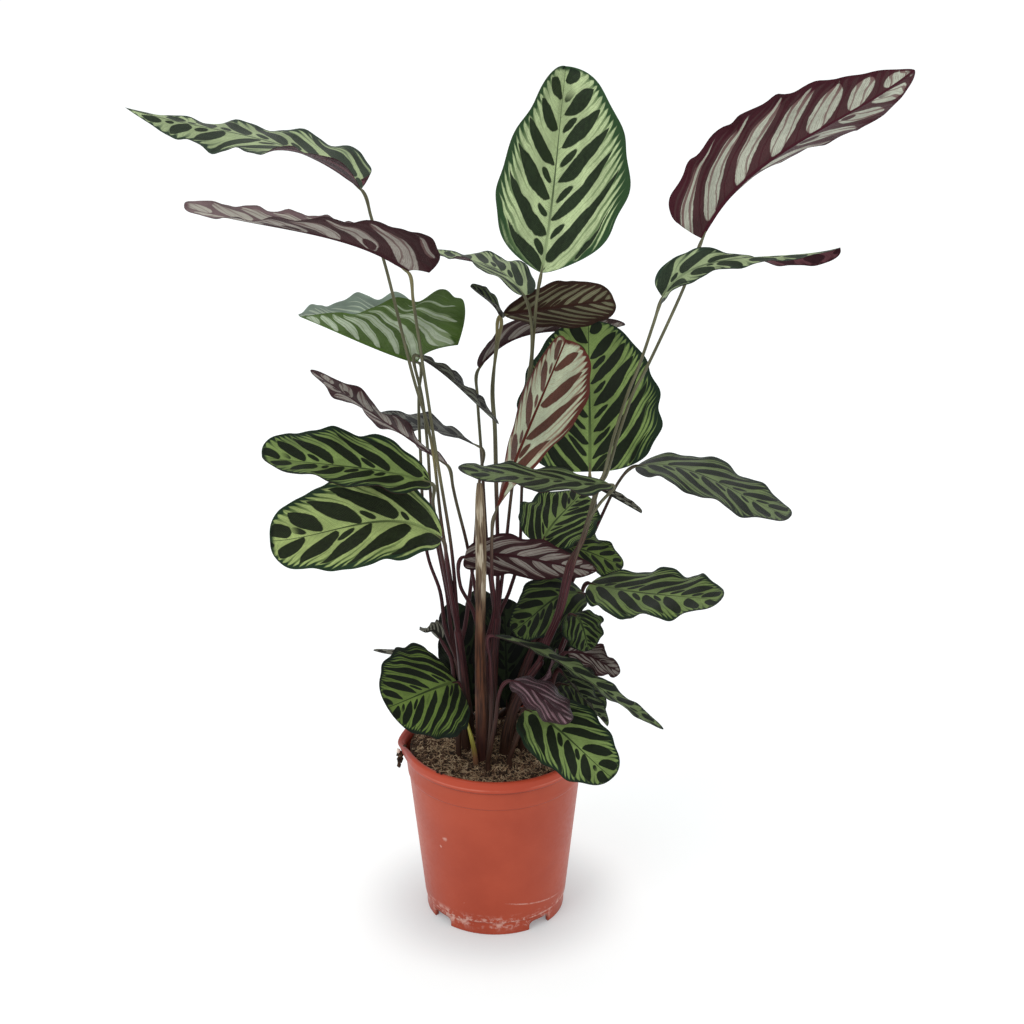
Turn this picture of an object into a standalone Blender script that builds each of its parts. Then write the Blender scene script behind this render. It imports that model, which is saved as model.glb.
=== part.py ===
"""A potted peacock plant: a nursery pot of peat, and shoots whose stalks each carry one patterned leaf.

All driving sizes are in millimetres. The origin is the middle of the pot's underside, and +Z is up.
"""
import math
from collections import namedtuple

import bmesh
import bpy
import numpy as np
from mathutils import Vector

MM = 0.001

# Pot: a tapered plastic pot with a rolled lip, standing on four feet
POT_HEIGHT = 178.0
LIP_RADIUS = 87.5
LIP_DEPTH = 12.0
BODY_TOP_RADIUS = 84.0
BAND_RADIUS = 83.0
BAND_Z = 150.0
SKIRT_Z = 13.4
SKIRT_RADIUS = 67.4
FOOT_RADIUS = 66.4
WALL = 2.0
FLOOR_Z = 11.0
FLOOR_THICK = 2.0
FOOT_WALL = 4.0
POT_SIDES = 48
NOTCH_ANGLES = (-50.0, 40.0, 130.0, 220.0)  # degrees round the pot from +X of each gap between feet
NOTCH_WIDTH = 24.0
NOTCH_HEIGHT = 9.0
DRAIN_RADIUS = 5.0
DRAIN_CIRCLE = 48.0

# Soil: peat that fills the pot to just below its lip
GAP = 0.3
SOIL_EDGE_Z = 169.0
SOIL_CROWN = 4.0
SOIL_RINGS = 4
SOIL_SIDES = 32
HOLE_DEPTH = 24.0

# Leaves
LEAF_THICK = 0.8
LEAF_ROWS = 10
SMALL_LEAF_ROWS = 7
SMALL_LEAF = 60.0  # leaves narrower than this get fewer rows
LEAF_HALVES = 2
NECK_GAP = 0.6  # from the leaf back to the end of its stalk
NECK_RADIUS = 0.6
NECK_LENGTH = 5.0

# Stalks, and the sheaths that hold them
SHEATH_SIDES = 10
STALK_SIDES = 6
STALK_STEPS = 5  # for a straight stalk; each point it bends through adds one
STALK_RADIUS = 3.3
STALK_TOP_RADIUS = 1.4
SCALLOP = 0.03  # how far the edge swings in and out, as a share of the half-width
STALK_TAPER = 70.0  # how fast a stalk thins above its sheath
SHEATH_STEPS = 3

Leaf = namedtuple(
    "Leaf",
    "base tip wide roll twist arch sway fold relax wave count phase peak ends lobe",
    defaults=(0, 0, 0, 0, (0, 0), (0, 0), 4, 3, 0, 0.45, (0.5, 0.5), (0, 0)),
)
# base and tip: ends of the midrib. wide: greatest width. roll and twist: degrees about the midrib.
# arch and sway: bow of the midrib up and to the right. fold: degrees that the left and right halves
# rise from the midrib, fading to the tip by relax. wave, count, phase: the edge's ripple.
# peak: how far along the leaf is widest. ends: how pointed its base and tip are, more being more
# pointed. lobe: how far each half reaches back past the base.
LEAVES = {
    "leaf_01": Leaf((-115, 15, 711), (-329, 103, 761), 96, -1, -43, 11, 9, (26, 23), (2.5, 2.2), 3.5,
                    4.5, 0.15, 0.2, (0.82, 1.0), (-3, -10)),
    "leaf_02": Leaf((-74, -25, 649), (-257, -71, 720), 82, 15, -10, 9, -18, (48, 31), (1.2, 0.2), 1.8,
                    6, -0.57, 0.2, (0.7, 0.31), (18, -9)),
    "leaf_03": Leaf((-70, 60, 535), (-169, -10, 603), 146, 11, 24, -2, -2, (91, 48), (0.95, 0.46), 3.6,
                    3, 0.45, 0.22, (0.51, 0.61), (41, 20)),
    "leaf_04": Leaf((-68, 25, 554), (4, 18, 491), 44, -18, 10, 3, 0, (15, 15), (0, 0), 3),
    "leaf_05": Leaf((-44, 8, 456), (-160, -30, 561), 48, 24, 24, 0, 0, (5, 5), (0, 0), 4, 3, 0, 0.45,
                    (0.5, 0.6)),
    "leaf_06": Leaf((-14, 62, 451), (-113, 100, 467), 48, 6, -15, 4, 0, (10, 10), (0, 0), 3, 3, 0, 0.6,
                    (1.3, 0.5)),
    "leaf_07": Leaf((-57, -42, 459), (-200, -85, 501), 84, -14, 8, 4, 0, (12, 16), (0, 0), 3, 3, 0, 0.5,
                    (0.42, 0.36)),
    "leaf_08": Leaf((-47, -52, 409), (-197, -80, 419), 90, -30, 10, 27, 0, (0, 20), (0, 0), 3, 3, 0,
                    0.52, (0.5, 0.32)),
    "leaf_09": Leaf((42, 10, 637), (63, 58, 809), 139, 6, 23, 4, 3, (61, 5), (-0.14, 0), 3.6, 2.4,
                    -0.14, 0.43, (0.93, 0.44)),
    "leaf_10": Leaf((27, 24, 611), (-64, 105, 628), 62, 12, 0, 12, 0, (10, 10), (0, 0), 2.5, 3, 0, 0.36),
    "leaf_11": Leaf((8, 66, 579), (106, 8, 613), 48, -75, 0, 0, 0, (5, 5), (0, 0), 2, 3, 0, 0.6,
                    (0.5, 0.35)),
    "leaf_12": Leaf((-14, 92, 518), (122, 118, 551), 52, -4, 0, 18, 0, (10, 52), (0, 0), 3),
    "leaf_13": Leaf((1, -40, 428), (63, -30, 589), 104, -93, -8, 5, 0, (30, 84), (0, 0), 2.5, 3, 0,
                    0.64, (0.95, 0.42)),
    "leaf_14": Leaf((88, 40, 435), (86, 75, 570), 132, 0, 0, 5, 0, (0, 0), (0, 0), 3, 3, 0, 0.38,
                    (0.45, 0.42)),
    "leaf_15": Leaf((102, -75, 471), (-28, -120, 503), 76, 4, 0, 0, 0, (0, 0), (0, 0), 2.5, 3, 0, 0.45,
                    (0.5, 0.4)),
    "leaf_16": Leaf((180, -20, 677), (335, -124, 848), 93, -81, -19, 0, 16, (92, -6), (0.5, 0.8), 6,
                    5.5, -0.1, 0.31, (0.25, 0.7), (-4, -4)),
    "leaf_17": Leaf((145, -52, 635), (284, -125, 702), 40, 10, -22, 20, 7, (72, -8), (2.5, 1.4), 2, 4,
                    0.13, 0.2, (0.62, 0.32), (-2, -2)),
    "leaf_18": Leaf((133, 62, 432), (271, 5, 405), 90, -3, 0, 12, 0, (0, 0), (0, 0), 3, 3, 0, 0.45,
                    (0.5, 0.4)),
    "leaf_19": Leaf((98, 60, 410), (137, 45, 391), 12, 0, 0, 0, 0, (60, 60), (0, 0), 1, 3, 0, 0.45,
                    (0.4, 0.3)),
    "leaf_20": Leaf((43, 8, 375), (81, 45, 412), 92, 0, 0, 5, 0, (0, 0), (0, 0), 3),
    "leaf_21": Leaf((-27, -19, 376), (94, -4, 355), 50, -72, 0, 8, 0, (0, 0), (0, 0), 2.5, 3, 0, 0.36,
                    (0.4, 0.6)),
    "leaf_22": Leaf((57, 26, 366), (120, 20, 349), 50, 20, 0, 5, 0, (0, 0), (0, 0), 3),
    "leaf_23": Leaf((90, 36, 323), (205, -45, 344), 84, 10, 0, -3, 0, (0, 0), (0, 0), 4, 3, 0, 0.45,
                    (0.5, 0.42)),
    "leaf_24": Leaf((11, 38, 190), (9, 70, 291), 66, 0, 0, 8, 0, (10, 10), (0, 0), 4, 3, 0, 0.45,
                    (0.38, 0.5)),
    "leaf_25": Leaf((83, 20, 320), (16, -4, 292), 60, -30, 0, 18, 0, (0, 0), (0, 0), 3),
    "leaf_26": Leaf((71, -28, 322), (87, -50, 296), 42, 10, 0, 10),
    "leaf_27": Leaf((68, -22, 280), (116, -38, 268), 52, -60, 0, 5, 0, (0, 0), (0, 0), 3),
    "leaf_28": Leaf((62, -43, 270), (104, -62, 224), 34, -12, 0, 0, 0, (25, 25), (0, 0), 2.5),
    "leaf_29": Leaf((63, 6, 232), (102, -18, 215), 50, 10, 0, 5, 0, (0, 0), (0, 0), 3),
    "leaf_30": Leaf((-1, -50, 311), (154, -84, 233), 36, -10, 20, 8, 0, (12, 12), (0, 0), 2.5, 5, 0,
                    0.45, (0.6, 0.6)),
    "leaf_31": Leaf((16, -74, 277), (69, -100, 249), 66, 170, 0, -5, 0, (0, 0), (0, 0), 2, 3, 0, 0.5,
                    (0.45, 0.45)),
    "leaf_32": Leaf((29, -45, 232), (107, -112, 198), 73, 20, 0, 10, 0, (0, 0), (0, 0), 2, 3, 0, 0.45,
                    (0.5, 0.42)),
    "leaf_33": Leaf((-35, -30, 253), (-96, -95, 261), 98, -40, 0, 6, 0, (0, 0), (0, 0), 2, 3, 0, 0.45,
                    (0.48, 0.42)),
    "leaf_34": Leaf((-23, 30, 189), (-43, 66, 289), 64, 10, 0, 8, 0, (10, 10), (0, 0), 4, 3, 0, 0.45,
                    (0.38, 0.5)),
    "leaf_35": Leaf((-50, -8, 286), (-65, -26, 303), 22, 40, 0, 6, 0, (40, 40), (0, 0), 2),
    "leaf_36": Leaf((3, 66, 194), (-19, 100, 286), 58, 0, 0, 8, 0, (10, 10)),
    "leaf_37": Leaf((48, 62, 196), (66, 98, 269), 58, 0, 0, 8, 0, (10, 10)),
    "leaf_38": Leaf((52, 20, 199), (97, 40, 231), 54, 0, 0, 10, 0, (10, 10)),
    "leaf_39": Leaf((38, -40, 258), (57, -36, 291), 28, 150, 0, 5, 0, (20, 20), (0, 0), 2),
    "leaf_41": Leaf((6, 60, 579), (-21, 44, 613), 28, -20, 0, 3, 0, (20, 20), (0, 0), 1),
    "leaf_40": Leaf((-51, -14, 255), (-111, -36, 289), 16, 0, 0, 6, 0, (20, 20), (0, 0), 1),
}

Shoot = namedtuple("Shoot", "root radius tall lean stalks")
# root: where the shoot leaves the soil. radius, tall and lean: its sheath, and how far the sheath's
# top lies to the side. stalks: the points between the sheath and each leaf that its stalk passes.
SHOOTS = {
    "shoot_01": Shoot((-26, -8), 6.0, 128, (-8, -4), {
        "leaf_01": [(-41, -14, 358), (-48, -18, 412), (-56, -20, 491),
                    (-72, -14, 552), (-89, 2, 622), (-97, 15, 649)],
        "leaf_02": [(-37, -14, 358), (-41, -20, 403), (-50, -28, 472), (-61, -27, 557), (-69, -26, 620)],
        "leaf_07": [(-45, -22, 362), (-54, -34, 431)],
        "leaf_08": [(-40, -36, 356)],
    }),
    "shoot_02": Shoot((-24, 16), 5.0, 85, (-12, -1), {
        "leaf_03": [(-46, 12, 286), (-51, 20, 322), (-64, 28, 366), (-68, 37, 458), (-69, 45, 504)],
        "leaf_04": [(-41, 14, 285), (-45, 20, 322), (-57, 28, 392), (-61, 33, 460), (-65, 30, 510)],
        "leaf_06": [(-27, 28, 289), (-20, 45, 343), (-15, 58, 409)],
    }),
    "shoot_03": Shoot((-9, -14), 6.5, 105, (-2, 4), {
        "leaf_05": [(-15, -2, 314), (-21, 2, 353), (-26, 4, 382), (-35, 6, 421)],
        "leaf_13": [(0, -26, 325), (-2, -34, 364), (-2, -36, 400)],
        "leaf_21": [(-19, -14, 317), (-31, -22, 348)],
    }),
    "shoot_04": Shoot((10, -20), 6.0, 105, (32, -12), {
        "leaf_15": [(51, -36, 300), (62, -42, 333), (73, -44, 384), (87, -58, 434)],
        "leaf_16": [(49, -32, 298), (59, -34, 326), (69, -28, 372), (81, -22, 394), (94, -12, 439),
                    (102, -12, 456), (111, -20, 496), (123, -24, 537), (135, -26, 563), (163, -23, 629)],
        "leaf_17": [(47, -30, 297), (57, -30, 324), (67, -26, 371), (79, -20, 393), (92, -14, 440),
                    (99, -15, 457), (107, -24, 497), (118, -34, 541), (128, -42, 573)],
    }),
    "shoot_05": Shoot((-4, 14), 6.5, 118, (6, 20), {
        "leaf_09": [(14, 50, 309), (23, 68, 338), (25, 60, 398), (26, 38, 443),
                    (29, 36, 488), (33, 36, 527), (35, 32, 561), (38, 18, 609)],
        "leaf_10": [(9, 38, 346), (16, 44, 415), (25, 40, 486),
                    (32, 28, 539), (34, 22, 564), (33, 24, 590)],
        "leaf_11": [(3, 36, 347), (2, 44, 425), (1, 50, 473), (-1, 54, 515)],
        "leaf_41": [(3, 36, 347), (1, 44, 425), (0, 50, 473), (-2, 54, 515)],
        "leaf_12": [(-4, 50, 320), (-8, 70, 352), (-12, 88, 422), (-16, 92, 486)],
    }),
    "shoot_06": Shoot((14, 8), 6.0, 90, (24, 26), {
        "leaf_14": [(62, 52, 298), (85, 60, 357), (93, 58, 394)],
        "leaf_18": [(65, 55, 296), (97, 64, 371), (115, 66, 412)],
        "leaf_19": [(63, 54, 297), (90, 68, 364), (95, 68, 395)],
        "leaf_20": [(37, 46, 297), (42, 32, 337)],
        "leaf_22": [(47, 42, 303)],
        "leaf_23": [(66, 34, 286), (81, 44, 305)],
    }),
    "shoot_07": Shoot((26, -12), 5.0, 48, (20, 4), {
        "leaf_25": [(63, 14, 264)],
        "leaf_26": [(59, -8, 270), (66, -32, 306)],
        "leaf_27": [(52, -4, 242)],
        "leaf_28": [(52, -26, 243)],
        "leaf_29": [(50, 2, 217)],
    }),
    "shoot_08": Shoot((-6, -50), 3.5, 12, (0, 0), {
        "leaf_31": [(1, -58, 228), (4, -66, 257), (10, -71, 273)],
        "leaf_30": [(-3, -50, 228), (-3, -50, 276)],
    }),
    "shoot_09": Shoot((14, -44), 3.5, 12, (0, 0), {
        "leaf_32": [(24, -46, 213)],
        "leaf_39": [(27, -40, 227)],
    }),
    "shoot_10": Shoot((-34, -26), 3.5, 15, (0, 0), {
        "leaf_33": [(-32, -26, 230)],
        "leaf_35": [(-37, -20, 239), (-41, -13, 272)],
        "leaf_40": [(-40, -16, 237)],
    }),
    "shoot_11": Shoot((-22, 44), 4.0, 8, (0, 0), {
        "leaf_34": [(-25, 37, 179)],
        "leaf_36": [(-1, 56, 179)],
    }),
    "shoot_12": Shoot((6, 46), 4.5, 10, (0, 0), {
        "leaf_24": [(12, 42, 182)],
        "leaf_37": [(32, 55, 180)],
    }),
    "shoot_13": Shoot((26, 30), 3.5, 14, (0, 0), {
        "leaf_38": [(39, 26, 180)],
    }),
}

# Young shoots: a dried spear and a pale new shoot, each a tapered stem from the soil
SPEAR_PATH = [(-12, -32, 150), (-12, -32, 170), (-12, -32, 190),
              (-13, -35, 290), (-12, -38, 380), (-13, -40, 457)]
SPEAR_RADII = (5.4, 4.5)
SPROUT_PATH = [(-18, -38, 150), (-18, -38, 176), (-22, -38, 200), (-28, -37, 224)]
SPROUT_RADII = (3.0, 0.8)
STEM_FOOT_Z = 150.0


def clear_scene():
    for obj in list(bpy.data.objects):
        bpy.data.objects.remove(obj, do_unlink=True)


def make_material(name, colour, roughness):
    material = bpy.data.materials.new(name)
    material.use_nodes = True
    shader = material.node_tree.nodes["Principled BSDF"]
    shader.inputs["Base Color"].default_value = (*colour, 1.0)
    shader.inputs["Roughness"].default_value = roughness
    shader.inputs["Metallic"].default_value = 0.0
    return material


def make_object(name, points, faces, material, smooth=True):
    mesh = bpy.data.meshes.new(name)
    mesh.from_pydata([tuple(float(c) * MM for c in p) for p in points], [], faces)
    mesh.update()
    if smooth:
        mesh.shade_smooth()
    if material:
        mesh.materials.append(material)
    obj = bpy.data.objects.new(name, mesh)
    bpy.context.scene.collection.objects.link(obj)
    return obj


def unit(v):
    return v / np.linalg.norm(v)


def turned(v, axis, angle):
    c, s = math.cos(angle), math.sin(angle)
    return v * c + np.cross(axis, v) * s + axis * (axis @ v) * (1 - c)


def half_width(leaf, t):
    """Half the blade's width at t along it: round at the base and drawn to a point at the tip."""
    power = math.log(0.5) / math.log(leaf.peak)
    bluntness = leaf.ends[0] + (leaf.ends[1] - leaf.ends[0]) * t
    return 0.5 * leaf.wide * math.sin(math.pi * t ** power) ** bluntness


def midrib_frame(leaf, t):
    """The midrib's point, the upper side's normal and the direction to the right, at t along it."""
    base, tip = np.array(leaf.base, float), np.array(leaf.tip, float)
    chord = tip - base
    axis = unit(chord)
    up = unit(np.array([0.0, 0.0, 1.0]) - axis * axis[2])
    up = turned(up, axis, math.radians(leaf.roll))
    bow = up * leaf.arch + np.cross(axis, up) * leaf.sway
    point = base + chord * t + bow * 6.75 * t * (1 - t) ** 2
    along = unit(chord + bow * 6.75 * (1 - t) * (1 - 3 * t))
    normal = unit(up - along * (up @ along))
    normal = turned(normal, along, math.radians(leaf.twist * (t - 0.5)))
    return point, normal, np.cross(along, normal)


def blade_point(leaf, t, v):
    """A point of the blade's middle surface, at t along it and v across it from -1 to 1."""
    point, normal, side = midrib_frame(leaf, t)
    along = np.cross(normal, side)
    width = half_width(leaf, t)
    right = 1 if v > 0 else 0
    fold = math.radians(leaf.fold[right] * (1 - leaf.relax[right] * t))
    turn = 2 * math.pi * (leaf.count * t + leaf.phase + 0.5 * right)
    ripple = leaf.wave * abs(v) ** 2.2 * math.sin(turn)
    ripple *= min(1, 6 * t) * min(1, 5 * (1 - t)) * min(1, width / 22)
    back = leaf.lobe[right] * v * v * (1 - t) ** 3
    width *= 1 + SCALLOP * v * v * math.sin(1.5 * turn + 0.8)
    out, up = width * v * math.cos(fold), width * abs(v) * math.sin(fold) + ripple
    return point + side * out + normal * up - along * back


def blade_grid(leaf):
    rows = LEAF_ROWS if leaf.wide >= SMALL_LEAF else SMALL_LEAF_ROWS
    grid = np.zeros((rows + 1, 2 * LEAF_HALVES + 1, 3))
    for i in range(rows + 1):
        t = 0.5 - 0.5 * math.cos(math.pi * (0.02 + 0.965 * i / rows))
        for j in range(2 * LEAF_HALVES + 1):
            grid[i, j] = blade_point(leaf, t, j / LEAF_HALVES - 1)
    return grid


def make_blade(name, leaf, material):
    """A thin closed solid whose two faces are split into the same triangles."""
    grid = blade_grid(leaf)
    rows, columns = grid.shape[:2]
    normal = np.cross(np.gradient(grid, axis=1), np.gradient(grid, axis=0))
    normal /= np.linalg.norm(normal, axis=2, keepdims=True)
    top = (grid + normal * LEAF_THICK / 2).reshape(-1, 3)
    under = (grid - normal * LEAF_THICK / 2).reshape(-1, 3)
    count = rows * columns
    faces = []
    for i in range(rows - 1):
        for j in range(columns - 1):
            a, b = i * columns + j, i * columns + j + 1
            c, d = b + columns, a + columns
            split = [(a, b, c), (a, c, d)] if j < LEAF_HALVES else [(a, b, d), (b, c, d)]
            for p, q, r in split:
                faces.append((p, q, r))
                faces.append((r + count, q + count, p + count))
    rim = [j for j in range(columns)]
    rim += [i * columns + columns - 1 for i in range(1, rows)]
    rim += [(rows - 1) * columns + j for j in range(columns - 2, -1, -1)]
    rim += [i * columns for i in range(rows - 2, 0, -1)]
    for p, q in zip(rim, rim[1:] + rim[:1]):
        faces.append((q, p, p + count))
        faces.append((q, p + count, q + count))
    return make_object(name, np.vstack([top, under]), faces, material)


def smooth_path(points, steps):
    """Points along a Catmull-Rom curve through the given ones."""
    p = [np.array(q, float) for q in points]
    p = [2 * p[0] - p[1]] + p + [2 * p[-1] - p[-2]]
    path = []
    spans = len(p) - 3
    for k in range(steps + 1):
        u = k / steps * spans
        i = min(int(u), spans - 1)
        u -= i
        a, b, c, d = p[i:i + 4]
        path.append(0.5 * (2 * b + (c - a) * u + (2 * a - 5 * b + 4 * c - d) * u ** 2
                           + (3 * b - a - 3 * c + d) * u ** 3))
    return path


def make_tube(name, path, radii, sides, material=None):
    """A closed tube along a path, with a radius at each of its points."""
    path = [np.array(p, float) for p in path]
    ahead = [unit(path[min(i + 1, len(path) - 1)] - path[max(i - 1, 0)]) for i in range(len(path))]
    across = unit(np.cross(ahead[0], [0.0, 1.0, 0.0]))
    points = []
    for p, d, r in zip(path, ahead, radii):
        across = unit(across - d * (across @ d))
        other = np.cross(d, across)
        for k in range(sides):
            angle = 2 * math.pi * k / sides
            points.append(p + r * (across * math.cos(angle) + other * math.sin(angle)))
    faces = []
    for i in range(len(path) - 1):
        for k in range(sides):
            a, b = i * sides + k, i * sides + (k + 1) % sides
            faces.append((a, b, b + sides, a + sides))
    faces.append(tuple(range(sides - 1, -1, -1)))
    last = (len(path) - 1) * sides
    faces.append(tuple(range(last, last + sides)))
    return make_object(name, points, faces, material)


def union(target, others):
    """Joins closed objects into the target, and removes them."""
    group = bpy.data.collections.new(target.name + "_parts")
    bpy.context.scene.collection.children.link(group)
    for obj in others:
        group.objects.link(obj)
        bpy.context.scene.collection.objects.unlink(obj)
    modifier = target.modifiers.new("union", "BOOLEAN")
    modifier.operation = "UNION"
    modifier.operand_type = "COLLECTION"
    modifier.collection = group
    modifier.solver = "EXACT"
    apply_modifiers(target)
    for obj in others:
        bpy.data.objects.remove(obj, do_unlink=True)
    bpy.data.collections.remove(group)


def apply_modifiers(obj):
    bpy.context.view_layer.update()
    evaluated = obj.evaluated_get(bpy.context.evaluated_depsgraph_get())
    mesh = bpy.data.meshes.new_from_object(evaluated)
    obj.modifiers.clear()
    obj.data = mesh


def cut(target, cutter):
    modifier = target.modifiers.new("cut", "BOOLEAN")
    modifier.operation = "DIFFERENCE"
    modifier.object = cutter
    modifier.solver = "EXACT"
    apply_modifiers(target)
    bpy.data.objects.remove(cutter, do_unlink=True)


def sheath_axis(shoot, share):
    """The middle of a sheath at a share of its way up: upright in the soil, then leaning."""
    lean = share ** 2
    return np.array([shoot.root[0] + shoot.lean[0] * lean, shoot.root[1] + shoot.lean[1] * lean,
                     SOIL_EDGE_Z + shoot.tall * share])


def stalk(name, shoot, start, leaf, through):
    """A leaf stalk from inside its sheath to a thin neck that turns to the leaf just short of it."""
    base, normal, side = midrib_frame(leaf, 0.0)
    along = np.cross(normal, side)
    end = base - along * NECK_GAP
    neck = end - unit(along + unit(base - np.array(through[-1], float))) * NECK_LENGTH
    points = [sheath_axis(shoot, start), sheath_axis(shoot, 0.95)] + list(through) + [neck]
    steps = STALK_STEPS + len(through) - 2
    path = smooth_path(points, steps) + [end]
    travelled = np.cumsum([0.0] + [np.linalg.norm(q - p) for p, q in zip(path, path[1:])])
    spread = min(STALK_RADIUS, 0.7 * shoot.radius) - STALK_TOP_RADIUS
    radii = [STALK_TOP_RADIUS + spread * math.exp(-d / STALK_TAPER) for d in travelled[:-1]]
    return make_tube(name, path, radii + [NECK_RADIUS], STALK_SIDES)


def make_shoot(name, shoot, material):
    """A sheath that stands in the soil, with its leaf stalks joined into it."""
    x, y = shoot.root
    path = [(x, y, STEM_FOOT_Z), (x, y, SOIL_EDGE_Z)]
    shares = [0.15 + 0.85 * k / SHEATH_STEPS for k in range(SHEATH_STEPS + 1)]
    path += [sheath_axis(shoot, share) for share in shares]
    radii = [shoot.radius, shoot.radius] + [shoot.radius * (1 - 0.4 * share) for share in shares]
    sheath = make_tube(name, path, radii, SHEATH_SIDES, material)
    stalks = [stalk(f"{name}_{leaf}", shoot, 0.4 + 0.07 * k, LEAVES[leaf], through)
              for k, (leaf, through) in enumerate(shoot.stalks.items())]
    union(sheath, stalks)
    return sheath


def turned_profile(name, profile, sides, material):
    """A solid of revolution about +Z from a closed outline of (radius, height)."""
    bm = bmesh.new()
    ring = [bm.verts.new((r * MM, 0, z * MM)) for r, z in profile]
    edges = [bm.edges.new((ring[k], ring[(k + 1) % len(ring)])) for k in range(len(ring))]
    bmesh.ops.spin(bm, geom=ring + edges, cent=(0, 0, 0), axis=(0, 0, 1), angle=2 * math.pi,
                   steps=sides, use_merge=True)
    bmesh.ops.remove_doubles(bm, verts=bm.verts, dist=1e-6)
    bmesh.ops.recalc_face_normals(bm, faces=bm.faces)
    mesh = bpy.data.meshes.new(name)
    bm.to_mesh(mesh)
    bm.free()
    mesh.materials.append(material)
    mesh.shade_smooth()
    obj = bpy.data.objects.new(name, mesh)
    bpy.context.scene.collection.objects.link(obj)
    return obj


def pot_inner_radius(z):
    """The inner wall's radius at a height inside the pot."""
    bottom, top = SKIRT_RADIUS - WALL, BODY_TOP_RADIUS - WALL
    return bottom + (top - bottom) * (z - FLOOR_Z) / (POT_HEIGHT - FLOOR_Z)


def make_cylinder(name, x, y, low, high, radius, sides=16):
    return make_tube(name, [(x, y, low), (x, y, high)], [radius, radius], sides)


def make_pot(material):
    lip_low = POT_HEIGHT - LIP_DEPTH
    profile = [
        (FOOT_RADIUS, 0), (SKIRT_RADIUS - 0.6, SKIRT_Z), (SKIRT_RADIUS + 0.6, SKIRT_Z + 1),
        (BAND_RADIUS - 1.2, BAND_Z), (BAND_RADIUS, BAND_Z + 1.5), (BODY_TOP_RADIUS, lip_low),
        (LIP_RADIUS - 1.5, lip_low), (LIP_RADIUS, lip_low + 2), (LIP_RADIUS, POT_HEIGHT - 2),
        (LIP_RADIUS - 1.2, POT_HEIGHT), (BODY_TOP_RADIUS - 1.0, POT_HEIGHT),
        (pot_inner_radius(POT_HEIGHT - 3), POT_HEIGHT - 3),
        (pot_inner_radius(FLOOR_Z + FLOOR_THICK), FLOOR_Z + FLOOR_THICK),
        (0.0, FLOOR_Z + FLOOR_THICK), (0.0, FLOOR_Z), (FOOT_RADIUS - FOOT_WALL, FLOOR_Z),
        (FOOT_RADIUS - FOOT_WALL, 0),
    ]
    pot = turned_profile("pot", profile, POT_SIDES, material)
    for k, degrees in enumerate(NOTCH_ANGLES):
        angle = math.radians(degrees)
        direction = np.array([math.cos(angle), math.sin(angle), 0.0])
        across = np.array([-math.sin(angle), math.cos(angle), 0.0])
        inner, outer = FOOT_RADIUS - FOOT_WALL - 6, SKIRT_RADIUS + 4
        outline = [(-NOTCH_WIDTH / 2, -2), (NOTCH_WIDTH / 2, -2), (NOTCH_WIDTH / 2, NOTCH_HEIGHT - 5),
                   (NOTCH_WIDTH / 2 - 5, NOTCH_HEIGHT), (5 - NOTCH_WIDTH / 2, NOTCH_HEIGHT),
                   (-NOTCH_WIDTH / 2, NOTCH_HEIGHT - 5)]
        points = [direction * r + across * u + np.array([0, 0, z])
                  for r in (inner, outer) for u, z in outline]
        n = len(outline)
        faces = [tuple(range(n - 1, -1, -1)), tuple(range(n, 2 * n))]
        faces += [(i, (i + 1) % n, n + (i + 1) % n, n + i) for i in range(n)]
        cut(pot, make_object(f"notch_{k}", points, faces, None))
        x, y = DRAIN_CIRCLE * direction[:2]
        cut(pot, make_cylinder(f"drain_{k}", x, y, FLOOR_Z - 3, FLOOR_Z + FLOOR_THICK + 3, DRAIN_RADIUS, 12))
    return pot


def make_soil(material):
    low = FLOOR_Z + FLOOR_THICK + GAP
    radius = pot_inner_radius(SOIL_EDGE_Z) - GAP
    profile = [(0.0, low), (pot_inner_radius(low) - GAP, low), (radius, SOIL_EDGE_Z)]
    for k in range(1, SOIL_RINGS + 1):
        share = 1 - k / SOIL_RINGS
        profile.append((radius * share, SOIL_EDGE_Z + SOIL_CROWN * (1 - share ** 2)))
    soil = turned_profile("soil", profile, SOIL_SIDES, material)
    stems = [(shoot.root, shoot.radius) for shoot in SHOOTS.values()]
    stems += [(SPEAR_PATH[0][:2], SPEAR_RADII[0]), (SPROUT_PATH[0][:2], SPROUT_RADII[0])]
    for k, ((x, y), stem_radius) in enumerate(stems):
        cut(soil, make_cylinder(f"hole_{k}", x, y, STEM_FOOT_Z - GAP, POT_HEIGHT + 10, stem_radius + GAP, 12))
    return soil


def taper(path, radii, steps):
    points = smooth_path(path, steps)
    return points, [radii[0] + (radii[1] - radii[0]) * (k / steps) ** 1.5 for k in range(steps + 1)]


def main():
    clear_scene()
    terracotta = make_material("terracotta_plastic", (0.43, 0.085, 0.05), 0.45)
    peat = make_material("peat", (0.06, 0.035, 0.02), 0.95)
    leaf_green = make_material("leaf_green", (0.10, 0.22, 0.06), 0.4)
    stem_maroon = make_material("stem_maroon", (0.10, 0.035, 0.035), 0.5)
    spear_tan = make_material("spear_tan", (0.42, 0.30, 0.20), 0.7)
    sprout_green = make_material("sprout_green", (0.25, 0.25, 0.05), 0.5)
    make_pot(terracotta)
    make_soil(peat)
    for name, leaf in LEAVES.items():
        make_blade(name, leaf, leaf_green)
    for name, shoot in SHOOTS.items():
        make_shoot(name, shoot, stem_maroon)
    path, radii = taper(SPEAR_PATH, SPEAR_RADII, 10)
    make_tube("spear", path, radii, 8, spear_tan)
    path, radii = taper(SPROUT_PATH, SPROUT_RADII, 6)
    make_tube("sprout", path, radii, 8, sprout_green)


main()
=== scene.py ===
"""Looks for the potted peacock plant: patterned leaves, stalks, peat and a terracotta-red pot.

Lengths are in millimetres until a mesh is made. The leaves and shoots have the same numbers as in
the part's source.
"""
import random
from collections import namedtuple
from math import atan2, cos, degrees, exp, hypot, log, pi, radians, sin, sqrt, tau

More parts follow.
